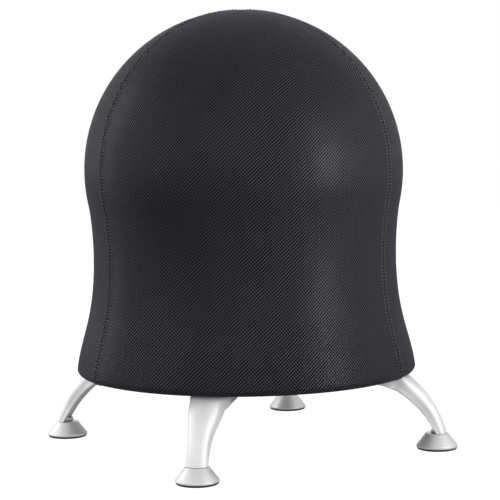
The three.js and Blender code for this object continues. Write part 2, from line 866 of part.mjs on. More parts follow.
// The pull tab hangs from the slider's pin.
function zipPull() {
  const barrel = new THREE.CylinderGeometry(
    pullBarrelRadius, pullBarrelRadius, pullBarrelLength, boreFacets,
  )
    .rotateZ(Math.PI / 2)
    .translate(closureRadius, 0, pullAxisHeight);
  const bore = new THREE.CylinderGeometry(
    pullPinRadius + seatGap, pullPinRadius + seatGap, pullBarrelLength + overrun, boltFacets,
  )
    .rotateZ(Math.PI / 2)
    .translate(closureRadius, 0, pullAxisHeight);
  const low = pullAxisHeight - pullLength;
  const neckHeight = pullAxisHeight - pullNeck;
  const plate = new THREE.Shape();
  plate.moveTo(-pullBarrelLength / 2, pullAxisHeight - pullPinRadius);
  plate.lineTo(-pullBarrelLength / 2, neckHeight);
  plate.lineTo(-pullWidth / 2, neckHeight - pullWidth / 4);
  plate.lineTo(-pullWidth / 2, low + pullWidth / 2);
  plate.absarc(0, low + pullWidth / 2, pullWidth / 2, Math.PI, 2 * Math.PI);
  plate.lineTo(pullWidth / 2, neckHeight - pullWidth / 4);
  plate.lineTo(pullBarrelLength / 2, neckHeight);
  plate.lineTo(pullBarrelLength / 2, pullAxisHeight - pullPinRadius);
  plate.closePath();
  const hole = new THREE.Path();
  hole.absarc(0, low + pullWidth / 2, pullHoleRadius, 0, 2 * Math.PI);
  plate.holes.push(hole);
  const tab = standing(plate, pullThickness, bendSteps).translate(closureRadius, 0, 0);
  return geometryOf(cut(join([solid(barrel), solid(tab)]), [solid(bore)]));
}

// Assembly

function piece(name, geometry, finish) {
  const made = new THREE.Mesh(geometry, new THREE.MeshStandardMaterial(finishes[finish]));
  made.name = name;
  return made;
}

function closure() {
  const group = new THREE.Group();
  const travelling = new THREE.Group();
  travelling.rotation.z = coilStart + sliderLead;
  travelling.add(piece("zip_slider", zipSlider(), "steel"), piece("zip_pull", zipPull(), "steel"));
  group.add(piece("zip_chain", zipChain(), "zip"), travelling);
  return group;
}

function cover() {
  const group = new THREE.Group();
  goreNames.forEach((name, index) => {
    group.add(piece(name, coverGore(firstSeamAngle + degrees(120) * index), "mesh"));
  });
  group.add(piece("cover_bottom_panel", bottomPanel(), "lining"));
  return group;
}

function sittingBall() {
  const group = new THREE.Group();
  group.add(piece("ball_shell", ball(), "ball"), piece("ball_plug", ballPlug(), "plug"));
  return group;
}

function legSet() {
  const group = new THREE.Group();
  const casting = leg();
  const bolt = legBolt();
  const panInsert = threadedInsert(panUnderside + seatGap, panInsertLength, boltRadius);
  const footInsert = threadedInsert(nutPocketHeight + seatGap, footInsertLength, studRadius);
  const footPieces = { stud: footStud(), bell: footBell(), pad: footPad() };
  for (const { side, angle } of legPlaces) {
    const quarter = new THREE.Group();
    quarter.rotation.z = angle;
    quarter.add(piece(`leg_${side}`, casting, "casting"));
    for (const [place, radius] of Object.entries(boltPlaces)) {
      const fixing = new THREE.Group();
      fixing.position.x = radius;
      fixing.add(
        piece(`leg_bolt_${side}_${place}`, bolt, "steel"),
        piece(`pan_insert_${side}_${place}`, panInsert, "brass"),
      );
      quarter.add(fixing);
    }
    const foot = new THREE.Group();
    foot.position.x = footCircleRadius;
    foot.add(
      piece(`foot_insert_${side}`, footInsert, "brass"),
      piece(`foot_stud_${side}`, footPieces.stud, "steel"),
      piece(`foot_bell_${side}`, footPieces.bell, "casting"),
      piece(`foot_pad_${side}`, footPieces.pad, "rubber"),
    );
    quarter.add(foot);
    group.add(quarter);
  }
  return group;
}

const chair = new THREE.Group();
chair.name = "balance_ball_chair";
chair.add(cover(), closure(), sittingBall(), piece("base_pan", basePan(), "moulding"), legSet());

export default chair;
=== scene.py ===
# %% [markdown]
# A balance ball chair: a sitting ball inside a tailored cover of black stretch mesh, on a round
# base with four curved silver legs that end in bell feet. The engineering model already fixes
# every size, so this script loads it first and dresses it: each smooth piece made here takes its
# place and proportions from that frame, rides on one of its bodies and stands for one of its nodes.

# %% Load the frame
import math

import bmesh
import bpy
from mathutils import Matrix, Vector
from mathutils.geometry import interpolate_bezier


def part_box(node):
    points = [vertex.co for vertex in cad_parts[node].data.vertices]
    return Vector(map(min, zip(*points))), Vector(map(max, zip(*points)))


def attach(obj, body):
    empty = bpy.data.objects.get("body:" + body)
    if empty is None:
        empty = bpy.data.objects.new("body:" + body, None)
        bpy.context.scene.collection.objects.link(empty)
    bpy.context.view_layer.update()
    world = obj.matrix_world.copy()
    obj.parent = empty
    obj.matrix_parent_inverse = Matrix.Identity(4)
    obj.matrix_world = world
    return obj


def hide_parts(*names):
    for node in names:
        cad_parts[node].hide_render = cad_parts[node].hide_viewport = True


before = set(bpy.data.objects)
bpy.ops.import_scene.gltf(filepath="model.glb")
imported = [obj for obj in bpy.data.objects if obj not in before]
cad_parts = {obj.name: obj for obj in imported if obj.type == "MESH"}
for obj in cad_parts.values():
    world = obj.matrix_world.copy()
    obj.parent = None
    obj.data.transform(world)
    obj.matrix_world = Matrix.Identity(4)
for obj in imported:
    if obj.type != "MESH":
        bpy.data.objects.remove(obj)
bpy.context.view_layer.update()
MM = 0.001
TAU = 2 * math.pi

# %% [markdown]
# The camera comes before the shapes, because each shape is judged through it. Its place was found
# from the rings of the four feet and the outline of the dome: 2.24 m away, 0.45 m high, 13.7
# degrees to the side of the front leg and looking down by less than five degrees.

# %% Camera
camera_distance = 2.237
camera_height = 0.4489
camera_turn = math.radians(13.74)
camera_heading = math.radians(0.18)
camera_pitch = math.radians(-4.77)
camera_roll = math.radians(-0.79)
picture_side = 500
focal_pixels = 1661.7

camera_data = bpy.data.cameras.new("camera")
camera_data.sensor_width = 36
camera_data.lens = focal_pixels / picture_side * camera_data.sensor_width
camera = bpy.data.objects.new("camera", camera_data)
camera_place = Vector((
    camera_distance * math.sin(camera_turn),
    -camera_distance * math.cos(camera_turn),
    camera_height,
))
camera.matrix_world = (
    Matrix.Translation(camera_place)
    @ Matrix.Rotation(camera_turn - camera_heading, 4, "Z")
    @ Matrix.Rotation(math.pi / 2 + camera_pitch, 4, "X")
    @ Matrix.Rotation(camera_roll, 4, "Z")
)
bpy.context.scene.collection.objects.link(camera)
bpy.context.scene.camera = camera
print("camera: lens", round(camera_data.lens, 2), "mm")

# %% [markdown]
# The sizes that the visible pieces share. Heights and the foot circle are read from the frame;
# the rest are the same values that the solids were drawn with.

# %% Shared sizes
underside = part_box("cover_bottom_panel")[0].z
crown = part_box("cover_gore_front")[1].z
foot_low, foot_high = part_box("foot_bell_right")
foot_circle = (foot_low.x + foot_high.x) / 2
bell_top = foot_high.z
bell_base = foot_low.z
leg_low, leg_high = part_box("leg_right")
leg_foot = leg_low.z
leg_tip = leg_low.x
dome_radius = 213.6 * MM
rim_radius = 228.2 * MM
waist_radius = 203.5 * MM
rim_rounding = 7 * MM
hem_radius = 135 * MM
cloth_thickness = 2.5 * MM
clearance = 0.3 * MM
leg_angles = {"front": -90, "right": 0, "back": 90, "left": 180}
print("crown", round(crown, 4), "underside", round(underside, 4))
print("foot circle", round(foot_circle, 4))

# %% [markdown]
# Shader maths could be placed node by node, but a long pattern is hard to read that way. Here it
# is written as plain expressions. A Wire is one socket of a material, and adding or multiplying
# wires adds the Math node for it, so that a pattern reads as the formula that it is.

# %% Wires


class Wire:
    """One output socket, with arithmetic."""

    def __init__(self, finish, socket):
        self.finish = finish
        self.socket = socket

    def math(self, operation, *others):
        return self.finish.math(operation, self, *others)

    def __add__(self, other):
        return self.math("ADD", other)

    def __sub__(self, other):
        return self.math("SUBTRACT", other)

    def __rsub__(self, other):
        return self.finish.math("SUBTRACT", other, self)

    def __mul__(self, other):
        return self.math("MULTIPLY", other)

    __radd__ = __add__
    __rmul__ = __mul__


# %% [markdown]
# A Finish is a material with one Principled shader. Its node method adds any other node: it takes
# the node's type, its settings, which are set first, and the values or wires of its sockets. The
# short methods after it are the nodes that the finishes of this chair use again and again.

# %% Finishes as a class


class Finish:
    """A material whose Principled shader takes constants at once and patterns through nodes."""

    def __init__(self, name, constants):
        self.material = bpy.data.materials.new(name)
        self.material.use_nodes = True
        self.tree = self.material.node_tree
        self.shader = self.tree.nodes["Principled BSDF"]
        for socket, value in constants.items():
            self.shader.inputs[socket].default_value = value

    def node(self, kind, settings=None, inputs=None, output=0):
        made = self.tree.nodes.new(kind)
        for key, value in (settings or {}).items():
            setattr(made, key, value)
        pairs = inputs.items() if isinstance(inputs, dict) else enumerate(inputs or [])
        for key, value in pairs:
            if isinstance(value, Wire):
                self.tree.links.new(value.socket, made.inputs[key])
            else:
                made.inputs[key].default_value = value
        return Wire(self, made.outputs[output])

    def math(self, operation, *values):
        return self.node("ShaderNodeMath", {"operation": operation}, list(values))

    def place(self):
        return self.node("ShaderNodeTexCoord", output="Object")

    def axis(self, vector, name):
        return self.node("ShaderNodeSeparateXYZ", inputs=[vector], output=name)

    def noise(self, vector, size, detail):
        """A cloudy value from 0 to 1, with blotches about as wide as the size."""
        return self.node(
            "ShaderNodeTexNoise",
            inputs={"Vector": vector, "Scale": 1 / size, "Detail": detail},
        )

    def step(self, value, low, high):
        """0 below low, 1 above high and smooth between."""
        return self.node(
            "ShaderNodeMapRange",
            {"interpolation_type": "SMOOTHSTEP"},
            {"Value": value, "From Min": low, "From Max": high},
        )

    def between(self, value, low, high):
        """A value from 0 to 1 turned into one from low to high."""
        return self.node("ShaderNodeMapRange", inputs={"Value": value, "To Min": low, "To Max": high})

    def colours(self, factor, first, second):
        return self.node(
            "ShaderNodeMix",
            {"data_type": "RGBA"},
            {0: factor, 6: first, 7: second},
            output=2,
        )

    def feed(self, socket, wire):
        self.tree.links.new(wire.socket, self.shader.inputs[socket])

    def bump(self, height, distance, strength):
        """Turns a height from 0 to 1 into relief of that distance."""
        relief = {"Height": height, "Distance": distance, "Strength": strength}
        self.feed("Normal", self.node("ShaderNodeBump", inputs=relief))
        return self.material

    def shading(self):
        return Wire(self, self.shader.outputs[0])

    def show(self, shading):
        """Makes a mixed shader the one that the surface has."""
        self.tree.links.new(shading.socket, self.tree.nodes["Material Output"].inputs[0])
        return self.material

    def opened(self, factor, constants):
        """A second shader shows where the factor is 1, as through a hole."""
        behind = self.node("ShaderNodeBsdfPrincipled", inputs=constants)
        return self.show(self.node("ShaderNodeMixShader", inputs=[factor, self.shading(), behind]))


def grey(level, tint=(0, 0, 0)):
    """A grey with a little of a colour added to it."""
    return (level + tint[0], level + tint[1], level + tint[2], 1)


# %% [markdown]
# Air mesh is a knitted spacer cloth: soft charcoal yarn round a staggered field of small holes.
# A picture of cloth would blur close to, so the holes are drawn by a formula on the flat
# cut: the product of two cosines is high in every hole and low where the yarn crosses. The
# holes are painted near black and without gloss, as painted shade for the hollow behind them,
# and the yarn is painted lighter on its raised knots and darker beside the holes, as painted
# light and shade on the knit. A thin coat gives the broad, soft highlight, and a light sheen
# stands for the loose fibres, which make the turned-away edges paler. The sizes of the
# topstitching stand here too, because the needle leaves a small hole between two stitches,
# which is painted dark as shade as well.

# %% Cover mesh finish
mesh_pitch_across = 4.3 * MM
mesh_pitch_along = 4.6 * MM
mesh_skew = math.tan(math.radians(8.8))
mesh_depth = 1.0 * MM
yarn_pitch = 0.9 * MM
yarn_wander = 0.5 * MM
wander_size = 9 * MM
fibre_size = 0.5 * MM
shade_size = 60 * MM
yarn_colour = (0.034, 0.0314, 0.0398)
# Painted shade: the near-black colour of the holes stands for the shade in the hollow behind the
# mesh.
hole_shade_level = 0.0015
topstitch_offset = 4.6 * MM
first_stitch = 3 * MM
stitch_pitch = 4.3 * MM
needle_radius = 0.75 * MM


def cover_mesh():
    finish = Finish("air_mesh", {
        "Specular IOR Level": 0.05,
        "Coat Weight": 0.16,
        "Coat Roughness": 0.38,
        "Sheen Weight": 0.09,
        "Sheen Roughness": 0.4,
        "Sheen Tint": (0.70, 0.60, 1.0, 1),
    })
    flat = finish.node("ShaderNodeUVMap", {"uv_map": "cloth"})
    wander = finish.noise(flat, wander_size, detail=1) - 0.5
    across = finish.axis(flat, "X") + wander * yarn_wander
    along = finish.axis(flat, "Y") + across * mesh_skew
    lattice = (
        (across * (TAU / mesh_pitch_across)).math("COSINE")
        * (along * (TAU / mesh_pitch_along)).math("COSINE")
    )
    seam = finish.node("ShaderNodeUVMap", {"uv_map": "seam"})
    from_row = (finish.axis(seam, "X") - topstitch_offset).math("ABSOLUTE")
    from_first = finish.axis(seam, "Y") - first_stitch
    between_stitches = (from_first * (TAU / stitch_pitch)).math("COSINE")
    # The needle holes join the mesh holes below and are painted dark with them, as painted shade.
    needle_holes = (
        finish.step(from_row, needle_radius * 1.3, needle_radius * 0.7)
        * finish.step(between_stitches, -0.45, -0.8)
    )
    holes = finish.step(lattice, -0.12, 0.33).math("MAXIMUM", needle_holes)
    knots = finish.step(lattice, 0.0, -1.0)
    yarn = (
        ((across + along) * (TAU / yarn_pitch)).math("SINE")
        * ((across - along) * (TAU / yarn_pitch)).math("SINE")
    )
    fibre = finish.noise(flat, fibre_size, detail=3)
    shade = finish.between(finish.noise(flat, shade_size, detail=2), 0.88, 1.12)
    # Painted light and shade: the knots factor makes the raised crossings lighter and the yarn beside
    # the holes darker; the fibre and broad cloud factors vary at random.
    tone = finish.between(fibre, 0.7, 1.3) * finish.between(knots, 0.8, 1.25) * shade
    finish.feed("Base Color", finish.node(
        "ShaderNodeVectorMath",
        {"operation": "SCALE"},
        {0: yarn_colour, "Scale": tone},
    ))
    finish.feed("Roughness", finish.between(fibre, 0.44, 0.58))
    relief = (1 - holes) * 0.8 + knots * 0.1 + yarn * 0.05 + fibre * 0.05
    finish.bump(relief, mesh_depth, 0.8)
    # The holes show a dark shader without gloss: painted shade for the hollow behind the mesh.
    return finish.opened(holes, {
        "Base Color": grey(hole_shade_level),
        "Roughness": 1.0,
        "Specular IOR Level": 0.0,
    })


mesh_finish = cover_mesh()
print("the cover mesh takes", len(mesh_finish.node_tree.nodes), "nodes")

# %% [markdown]
# The legs and feet are cast aluminium under silver paint: metallic, satin rather than bright,
# with a trace of flake and the gentlest waviness. The bells are turned, so theirs is a slightly
# darker finish with fine rings left by the tool.

# %% Silver paint, turned metal and steel
paint_tint = (0, 0.004, 0.012)


def silver_paint():
    finish = Finish("silver_paint", {
        "Metallic": 0.45,
        "Coat Weight": 0.1,
        "Coat Roughness": 0.4,
    })
    place = finish.place()
    flake = finish.noise(place, 0.35 * MM, detail=2)
    cloud = finish.noise(place, 25 * MM, detail=2)
    colour = finish.colours(flake, grey(0.64, paint_tint), grey(0.73, paint_tint))
    finish.feed("Base Color", colour)
    finish.feed("Roughness", finish.between(cloud, 0.55, 0.61) + flake * 0.05)
    return finish.bump(flake * 0.25 + cloud * 0.75, 0.08 * MM, 0.6)


def turned_silver():
    finish = Finish("turned_silver", {"Metallic": 0.45})
    place = finish.place()
    height = finish.axis(place, "Z")
    rings = finish.noise(height, 0.5 * MM, detail=3)
    cloud = finish.noise(place, 12 * MM, detail=2)
    finish.feed("Base Color", finish.colours(rings, grey(0.55), grey(0.65)))
    finish.feed("Roughness", finish.between(cloud, 0.46, 0.54))
    return finish.bump(rings, 0.04 * MM, 0.4)


def bright_steel(name="zinc_steel", level=0.42):
    finish = Finish(name, {"Metallic": 1.0, "Roughness": 0.3})
    place = finish.place()
    stain = finish.noise(place, 3 * MM, detail=4)
    finish.feed("Base Color", finish.colours(stain, grey(level * 0.8), grey(level * 1.1)))
    finish.feed("Roughness", finish.between(stain, 0.22, 0.42))
    return finish.bump(stain, 0.06 * MM, 0.4)


def brass():
    finish = Finish("brass", {"Metallic": 1.0, "Roughness": 0.32})
    stain = finish.noise(finish.place(), 2 * MM, detail=3)
    # Both brass colours are painted darker than clean brass: painted shade for the foot inserts deep
    # in the legs' nut pockets.
    finish.feed("Base Color", finish.colours(stain, (0.26, 0.21, 0.09, 1), (0.42, 0.36, 0.17, 1)))
    finish.feed("Roughness", finish.between(stain, 0.35, 0.5))
    return finish.bump(stain, 0.05 * MM, 0.4)


paint = silver_paint()
bell_finish = turned_silver()
steel = bright_steel()
dark_steel = bright_steel("black_oxide_steel", 0.16)
brass_finish = brass()
print("metals:", [metal.name for metal in (paint, bell_finish, steel, dark_steel, brass_finish)])

# %% [markdown]
# The quiet finishes: rubber pads, the moulded base, the ball's vinyl, the plug, the panel's
# lining, zip tape and stitching thread. Each still has its own grain, because the underside is
# seen as soon as the chair is turned over.

# %% Rubber, plastics, vinyl and thread


def moulded(name, colour, grain, roughness, relief):
    """A moulded surface: one colour, a fine grain, and roughness that varies with it."""
    finish = Finish(name, {"Roughness": sum(roughness) / 2})
    place = finish.place()
    fine = finish.noise(place, grain, detail=3)
    broad = finish.noise(place, 30 * grain, detail=2)
    dark = tuple(channel * 0.85 for channel in colour) + (1,)
    light = tuple(min(channel * 1.15, 1) for channel in colour) + (1,)
    finish.feed("Base Color", finish.colours(broad * 0.7 + fine * 0.3, dark, light))
    finish.feed("Roughness", finish.between(fine, *roughness))
    return finish.bump(fine, relief, 0.7)


def woven(name, colour, pitch, relief):
    """A plain weave: two sets of rounded threads, over and under in turn."""
    finish = Finish(name, {"Roughness": 0.9, "Sheen Weight": 0.15, "Sheen Roughness": 0.5})
    place = finish.place()
    warp = (finish.axis(place, "X") * (TAU / pitch)).math("SINE")
    weft = (finish.axis(place, "Y") * (TAU / pitch)).math("SINE")
    weave = finish.between(warp * weft, 0.0, 1.0)
    fuzz = finish.noise(place, pitch / 2, detail=3)
    dark = tuple(channel * 0.6 for channel in colour) + (1,)
    # Painted shade: the colour is darker where the weave's relief is low, in the hollows where the
    # threads pass under.
    finish.feed("Base Color", finish.colours(weave * 0.7 + fuzz * 0.3, dark, colour + (1,)))
    return finish.bump(weave * 0.8 + fuzz * 0.2, relief, 0.8)


rubber = moulded("rubber", (0.014, 0.013, 0.012), 0.6 * MM, (0.65, 0.85), 0.08 * MM)
pan_plastic = moulded("pan_plastic", (0.022, 0.022, 0.024), 0.9 * MM, (0.45, 0.6), 0.06 * MM)
vinyl = moulded("ball_vinyl", (0.10, 0.11, 0.12), 1.4 * MM, (0.32, 0.45), 0.05 * MM)
plug_plastic = moulded("plug_plastic", (0.72, 0.72, 0.69), 0.5 * MM, (0.4, 0.55), 0.03 * MM)
coil_nylon = moulded("coil_nylon", (0.02, 0.02, 0.022), 0.3 * MM, (0.35, 0.5), 0.02 * MM)
# Painted sheen: the thread is painted lighter than the cloth's yarn, to stand for the sheen on the
# stitches.
thread = moulded("stitch_thread_painted_sheen", (0.13, 0.124, 0.15), 0.2 * MM, (0.6, 0.8), 0.04 * MM)
lining = woven("panel_lining", (0.035, 0.035, 0.04), 1.1 * MM, 0.2 * MM)
tape_weave = woven("zip_tape", (0.03, 0.03, 0.034), 0.9 * MM, 0.15 * MM)
print("finishes:", len(bpy.data.materials))

# %% [markdown]
# A few small workshops serve most pieces. A turned piece is an outline spun round an axis, as on
# a lathe, and softening rounds its sharp rings with a bevel. Both work on a bmesh, which then
# becomes an object at the origin, because the chair's pieces keep their place in their mesh.

# %% Turning and softening


def object_from(shape, name, finish, sharp=38):
    """A bmesh becomes an object at the origin, smooth up to an angle."""
    mesh = bpy.data.meshes.new(name)
    shape.to_mesh(mesh)
    shape.free()
    mesh.materials.append(finish)
    mesh.shade_smooth()
    mesh.set_sharp_from_angle(angle=math.radians(sharp))
    made = bpy.data.objects.new(name, mesh)
    bpy.context.scene.collection.objects.link(made)
    return made


def tidy(shape, distance=0.002 * MM):
    """Merges points that meet and turns every face outwards."""
    bmesh.ops.remove_doubles(shape, verts=shape.verts, dist=distance)
    bmesh.ops.recalc_face_normals(shape, faces=shape.faces)
    return shape


def turned(outline, steps=96):
    """An outline of (radius, height) points, spun round the upright axis."""
    shape = bmesh.new()
    points = [shape.verts.new((radius, 0, height)) for radius, height in outline]
    edges = [shape.edges.new(pair) for pair in zip(points, points[1:])]
    if outline[0][0] > 0 and outline[-1][0] > 0:
        edges.append(shape.edges.new((points[-1], points[0])))
    bmesh.ops.spin(
        shape, geom=points + edges, axis=(0, 0, 1), cent=(0, 0, 0),
        angle=TAU, steps=steps, use_merge=True, use_duplicate=False,
    )
    return tidy(shape)


def soften(shape, width, segments, angle):
    """Rounds every edge whose faces meet at more than the angle."""
    sharp = [
        edge for edge in shape.edges
        if edge.is_manifold and edge.calc_face_angle(0) > math.radians(angle)
    ]
    bmesh.ops.bevel(
        shape, geom=sharp, offset=width, offset_type="OFFSET", affect="EDGES",
        segments=segments, profile=0.5, material=-1, clamp_overlap=True,
    )
    return shape


def moved(shape, x=0.0, z=0.0):
    bmesh.ops.translate(shape, verts=shape.verts, vec=(x, 0, z))
    return shape


# %% [markdown]
# Carving cuts solids out of a piece or joins them to it. A Boolean modifier could stay live, but
# it is applied at once, so that its tools can go and the piece is a plain mesh. Each piece is
# registered once, with its body and the nodes that it stands for.

# %% Carving and registering


def register(piece, body, slot, *nodes):
    """Puts a piece on its body and hides the nodes that it stands for. The slot is not used."""
    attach(piece, body)
    if nodes:
        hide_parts(*nodes)
    return piece


def worked(piece):
    """Applies a piece's modifiers."""
    shown = piece.evaluated_get(bpy.context.evaluated_depsgraph_get())
    mesh = bpy.data.meshes.new_from_object(shown)
    piece.modifiers.clear()
    piece.data = mesh
    return piece


def carved(piece, tools, operation="DIFFERENCE"):
    """Cuts tools out of a piece, or joins them to it, and removes them."""
    for tool in tools:
        step = piece.modifiers.new("carve", "BOOLEAN")
        step.operation = operation
        step.solver = "EXACT"
        step.object = tool
    bpy.context.view_layer.update()
    worked(piece)
    for tool in tools:
        bpy.data.objects.remove(tool)
    return piece


# %% [markdown]
# The cover's outline is one line from the hem under the base, round the rim, in at the waist and
# over the dome: an arc, two curves with their handles, and an arc again. Everything on the cloth
# asks this line for a radius, a height and a way out, so it is measured along its length first.

# %% The cover's outline
leaving_angle = math.radians(102)
rim_lean = math.radians(8.4)
waist_height_share = 0.7123
draw_in_shares = (0.224, 0.29)
flare_shares = (0.56, 0.32)
rim_steps = 24
flare_points = 60
draw_in_points = 40
dome_steps = 160
dome_centre = crown - dome_radius


def arc(centre, radius, start, end, steps):
    """Points along an arc, with both its ends."""
    for step in range(steps + 1):
        angle = start + (end - start) * step / steps
        yield centre + radius * Vector((math.cos(angle), math.sin(angle)))


def cover_outline():
    """Points of (radius, height) from the hem to the crown."""
    rim_centre = Vector((rim_radius - rim_rounding, underside + rim_rounding))
    leaving = Vector((math.sin(leaving_angle), math.cos(leaving_angle))) * dome_radius
    leaving.y += dome_centre
    fall = Vector((math.cos(leaving_angle), -math.sin(leaving_angle)))
    waist = Vector((waist_radius, underside + (leaving.y - underside) * waist_height_share))
    landing = rim_centre + rim_rounding * Vector((math.cos(rim_lean), math.sin(rim_lean)))
    lean = Vector((-math.sin(rim_lean), math.cos(rim_lean)))
    draw_in = leaving.y - waist.y
    flare = waist.y - landing.y
    points = [Vector((hem_radius, underside))]
    points += arc(rim_centre, rim_rounding, -math.pi / 2, rim_lean, rim_steps)
    points += interpolate_bezier(
        landing,
        landing + lean * flare_shares[1] * flare,
        waist - Vector((0, flare_shares[0] * flare)),
        waist,
        flare_points,
    )[1:]
    points += interpolate_bezier(
        waist,
        waist + Vector((0, draw_in_shares[1] * draw_in)),
        leaving + fall * draw_in_shares[0] * draw_in,
        leaving,
        draw_in_points,
    )[1:]
    centre = Vector((0, dome_centre))
    dome = arc(centre, dome_radius, math.pi / 2 - leaving_angle, math.pi / 2, dome_steps)
    points += list(dome)[1:]
    return points


class Measured:
    """A line measured along its length."""

    def __init__(self, points):
        self.points = points
        self.marks = [0.0]
        for before, after in zip(points, points[1:]):
            self.marks.append(self.marks[-1] + (after - before).length)
        self.length = self.marks[-1]

    def find(self, distance):
        """The point at a distance along the line, and the number of the stretch that it is on."""
        low, high = 0, len(self.marks) - 2
        while low < high:
            middle = (low + high + 1) // 2
            if self.marks[middle] <= distance:
                low = middle
            else:
                high = middle - 1
        span = self.marks[low + 1] - self.marks[low]
        share = min(max((distance - self.marks[low]) / span, 0), 1)
        return self.points[low].lerp(self.points[low + 1], share), low

    def out(self, distance):
        """The way out of the cloth there, averaged over a short stretch."""
        reach = 1.5 * MM
        before = self.find(max(distance - reach, 0))[0]
        after = self.find(min(distance + reach, self.length))[0]
        way = (after - before).normalized()
        return Vector((way.y, -way.x))


outline = Measured(cover_outline())
print("outline of the cover:", round(outline.length, 4), "m from hem to crown")

# %% [markdown]
# A gore is cut from flat cloth and stretched on. It could be modelled as a slice of the revolved
# outline, but a flat grid that is wrapped on keeps its cut: each point knows how far it lies
# across and along the cloth, and the mesh pattern follows that. Near the seams the cloth dips
# into the stitching, rises over the seam allowance and puckers a little.

# %% Seam relief
seam_dip = 0.6 * MM
seam_dip_width = 1.2 * MM
topstitch_dip = 0.4 * MM
topstitch_dip_width = 1.0 * MM
allowance_rise = 0.35 * MM
allowance_width = 1.45 * topstitch_offset
allowance_fade = 1.1 * MM
pucker_height = 0.3 * MM
pucker_width = 9 * MM
pucker_pitch = 11 * MM
pucker_drift = 1.7
drift_pitch = 3.1 * pucker_pitch
swell_pitch = 2.7 * pucker_pitch
crown_fade = 30 * MM
first_seam = -134.8
gore_span = 120


def bell_curve(value, width):
    return math.exp(-((value / width) ** 2))


def seam_relief(distance, along):
    """How far the cloth stands out, at a distance from the seam and along it."""
    allowance = 1 / (1 + math.exp((distance - allowance_width) / allowance_fade))
    drift = pucker_drift * math.sin(along / drift_pitch)
    pucker = math.sin(TAU * along / pucker_pitch + drift) * math.cos(TAU * along / swell_pitch)
    return (
        allowance_rise * allowance
        - seam_dip * bell_curve(distance, seam_dip_width)
        - topstitch_dip * bell_curve(distance - topstitch_offset, topstitch_dip_width)
        + pucker_height * pucker * bell_curve(distance - topstitch_offset, pucker_width)
    )


def on_cloth(angle, along, lift=0.0):
    """A point of the cloth, by its angle round the chair and its distance from the hem."""
    (radius, height), _ = outline.find(along)
    out = outline.out(along)
    nearest = (angle - math.radians(first_seam)) % math.radians(gore_span)
    distance = min(nearest, math.radians(gore_span) - nearest) * radius
    fade = min(radius / crown_fade, 1)
    relief = seam_relief(distance, along) * fade + lift
    radius += out.x * relief
    height += out.y * relief
    return Vector((radius * math.cos(angle), radius * math.sin(angle), height))


print("seams at", [round(first_seam + gore_span * index, 1) for index in range(3)], "degrees")

# %% [markdown]
# Three equal gores make the cover. Each is a grid with more columns beside its seams, wrapped on
# to the outline and given the cloth's thickness. Its lower part folds under the rim, where the
# seats of the legs come through windows in it.

# %% Gores
bolt_from_tip = 16 * MM
bolt_spacing = 28 * MM
inner_bolt = leg_tip + bolt_from_tip
outer_bolt = inner_bolt + bolt_spacing
window_radius = 13.5 * MM
edge_columns_mm = [0, 0.6, 1.2, 1.9, 2.7, 3.6, 4.5, 5.1, 5.5, 5.9, 6.5, 7.5, 9, 11, 14, 18]
gore_middle_columns = 34
gore_rows = 290


def column_shares():
    """Where the grid's columns lie across a gore, close together beside the seams."""
    width = math.radians(gore_span) * rim_radius
    edge = [column * MM / width for column in edge_columns_mm]
    step = (1 - 2 * edge[-1]) / gore_middle_columns
    middle = [edge[-1] + step * index for index in range(1, gore_middle_columns)]
    return edge + middle + [1 - share for share in reversed(edge)]


def from_seat(place, way):
    """How a place under the base lies from the line between one leg's two bolts."""
    reach = min(max(place.dot(way), inner_bolt), outer_bolt)
    return Vector((place.x, place.y, 0)) - way * reach


def cut_windows(shape):
    """Opens the cloth round each leg's seat, and draws the cut edge to the seat's outline."""
    for degrees in leg_angles.values():
        way = Vector((math.cos(math.radians(degrees)), math.sin(math.radians(degrees)), 0))
        under = [point for point in shape.verts if point.co.z < underside + cloth_thickness]
        inside = {point for point in under if from_seat(point.co, way).length < window_radius}
        torn = [face for face in shape.faces if any(point in inside for point in face.verts)]
        rim = {point for face in torn for point in face.verts} - inside
        bmesh.ops.delete(shape, geom=torn, context="FACES")
        for point in rim:
            offset = from_seat(point.co, way)
            point.co -= offset * (1 - window_radius / offset.length)


def gore(name, index):
    """A flat grid, wrapped on to the outline, with its cut and its seams kept as two UV maps."""
    shares = column_shares()
    shape = bmesh.new()
    bmesh.ops.create_grid(shape, x_segments=len(shares) - 1, y_segments=gore_rows, size=0.5)
    flat = shape.loops.layers.uv.new("cloth")
    seam = shape.loops.layers.uv.new("seam")
    start = math.radians(first_seam + gore_span * index)
    span = math.radians(gore_span)
    cut = {}
    for point in shape.verts:
        column = round((point.co.x + 0.5) * (len(shares) - 1))
        along = (point.co.y + 0.5) * outline.length
        angle = start + span * shares[column]
        radius = outline.find(along)[0].x
        to_seam = min(shares[column], 1 - shares[column]) * span * radius
        cut[point] = ((shares[column] - 0.5) * span * radius, along), (to_seam, along)
        point.co = on_cloth(angle, along)
    for face in shape.faces:
        for corner in face.loops:
            corner[flat].uv, corner[seam].uv = cut[corner.vert]
    tidy(shape)
    if sum(face.normal.dot(face.calc_center_median()) for face in shape.faces) < 0:
        bmesh.ops.reverse_faces(shape, faces=shape.faces)
    cut_windows(shape)
    piece = object_from(shape, name, mesh_finish, sharp=60)
    wall = piece.modifiers.new("cloth", "SOLIDIFY")
    wall.thickness = cloth_thickness - clearance
    wall.offset = -1
    return piece


wrapped_area = sum(
    (after - before).length * (before.x + after.x) / 2 * math.radians(gore_span)
    for before, after in zip(outline.points, outline.points[1:])
)
for index, side in enumerate(("front", "right", "left")):
    piece = register(gore(f"gore_{side}", index), "root", "mesh_fabric", f"cover_gore_{side}")

# %% [markdown]
# Topstitching runs beside each seam, one row on either side. A row is one short stitch, made once
# and set down again and again along the cloth. That is a few dozen faces each, which catch the
# light as thread does.

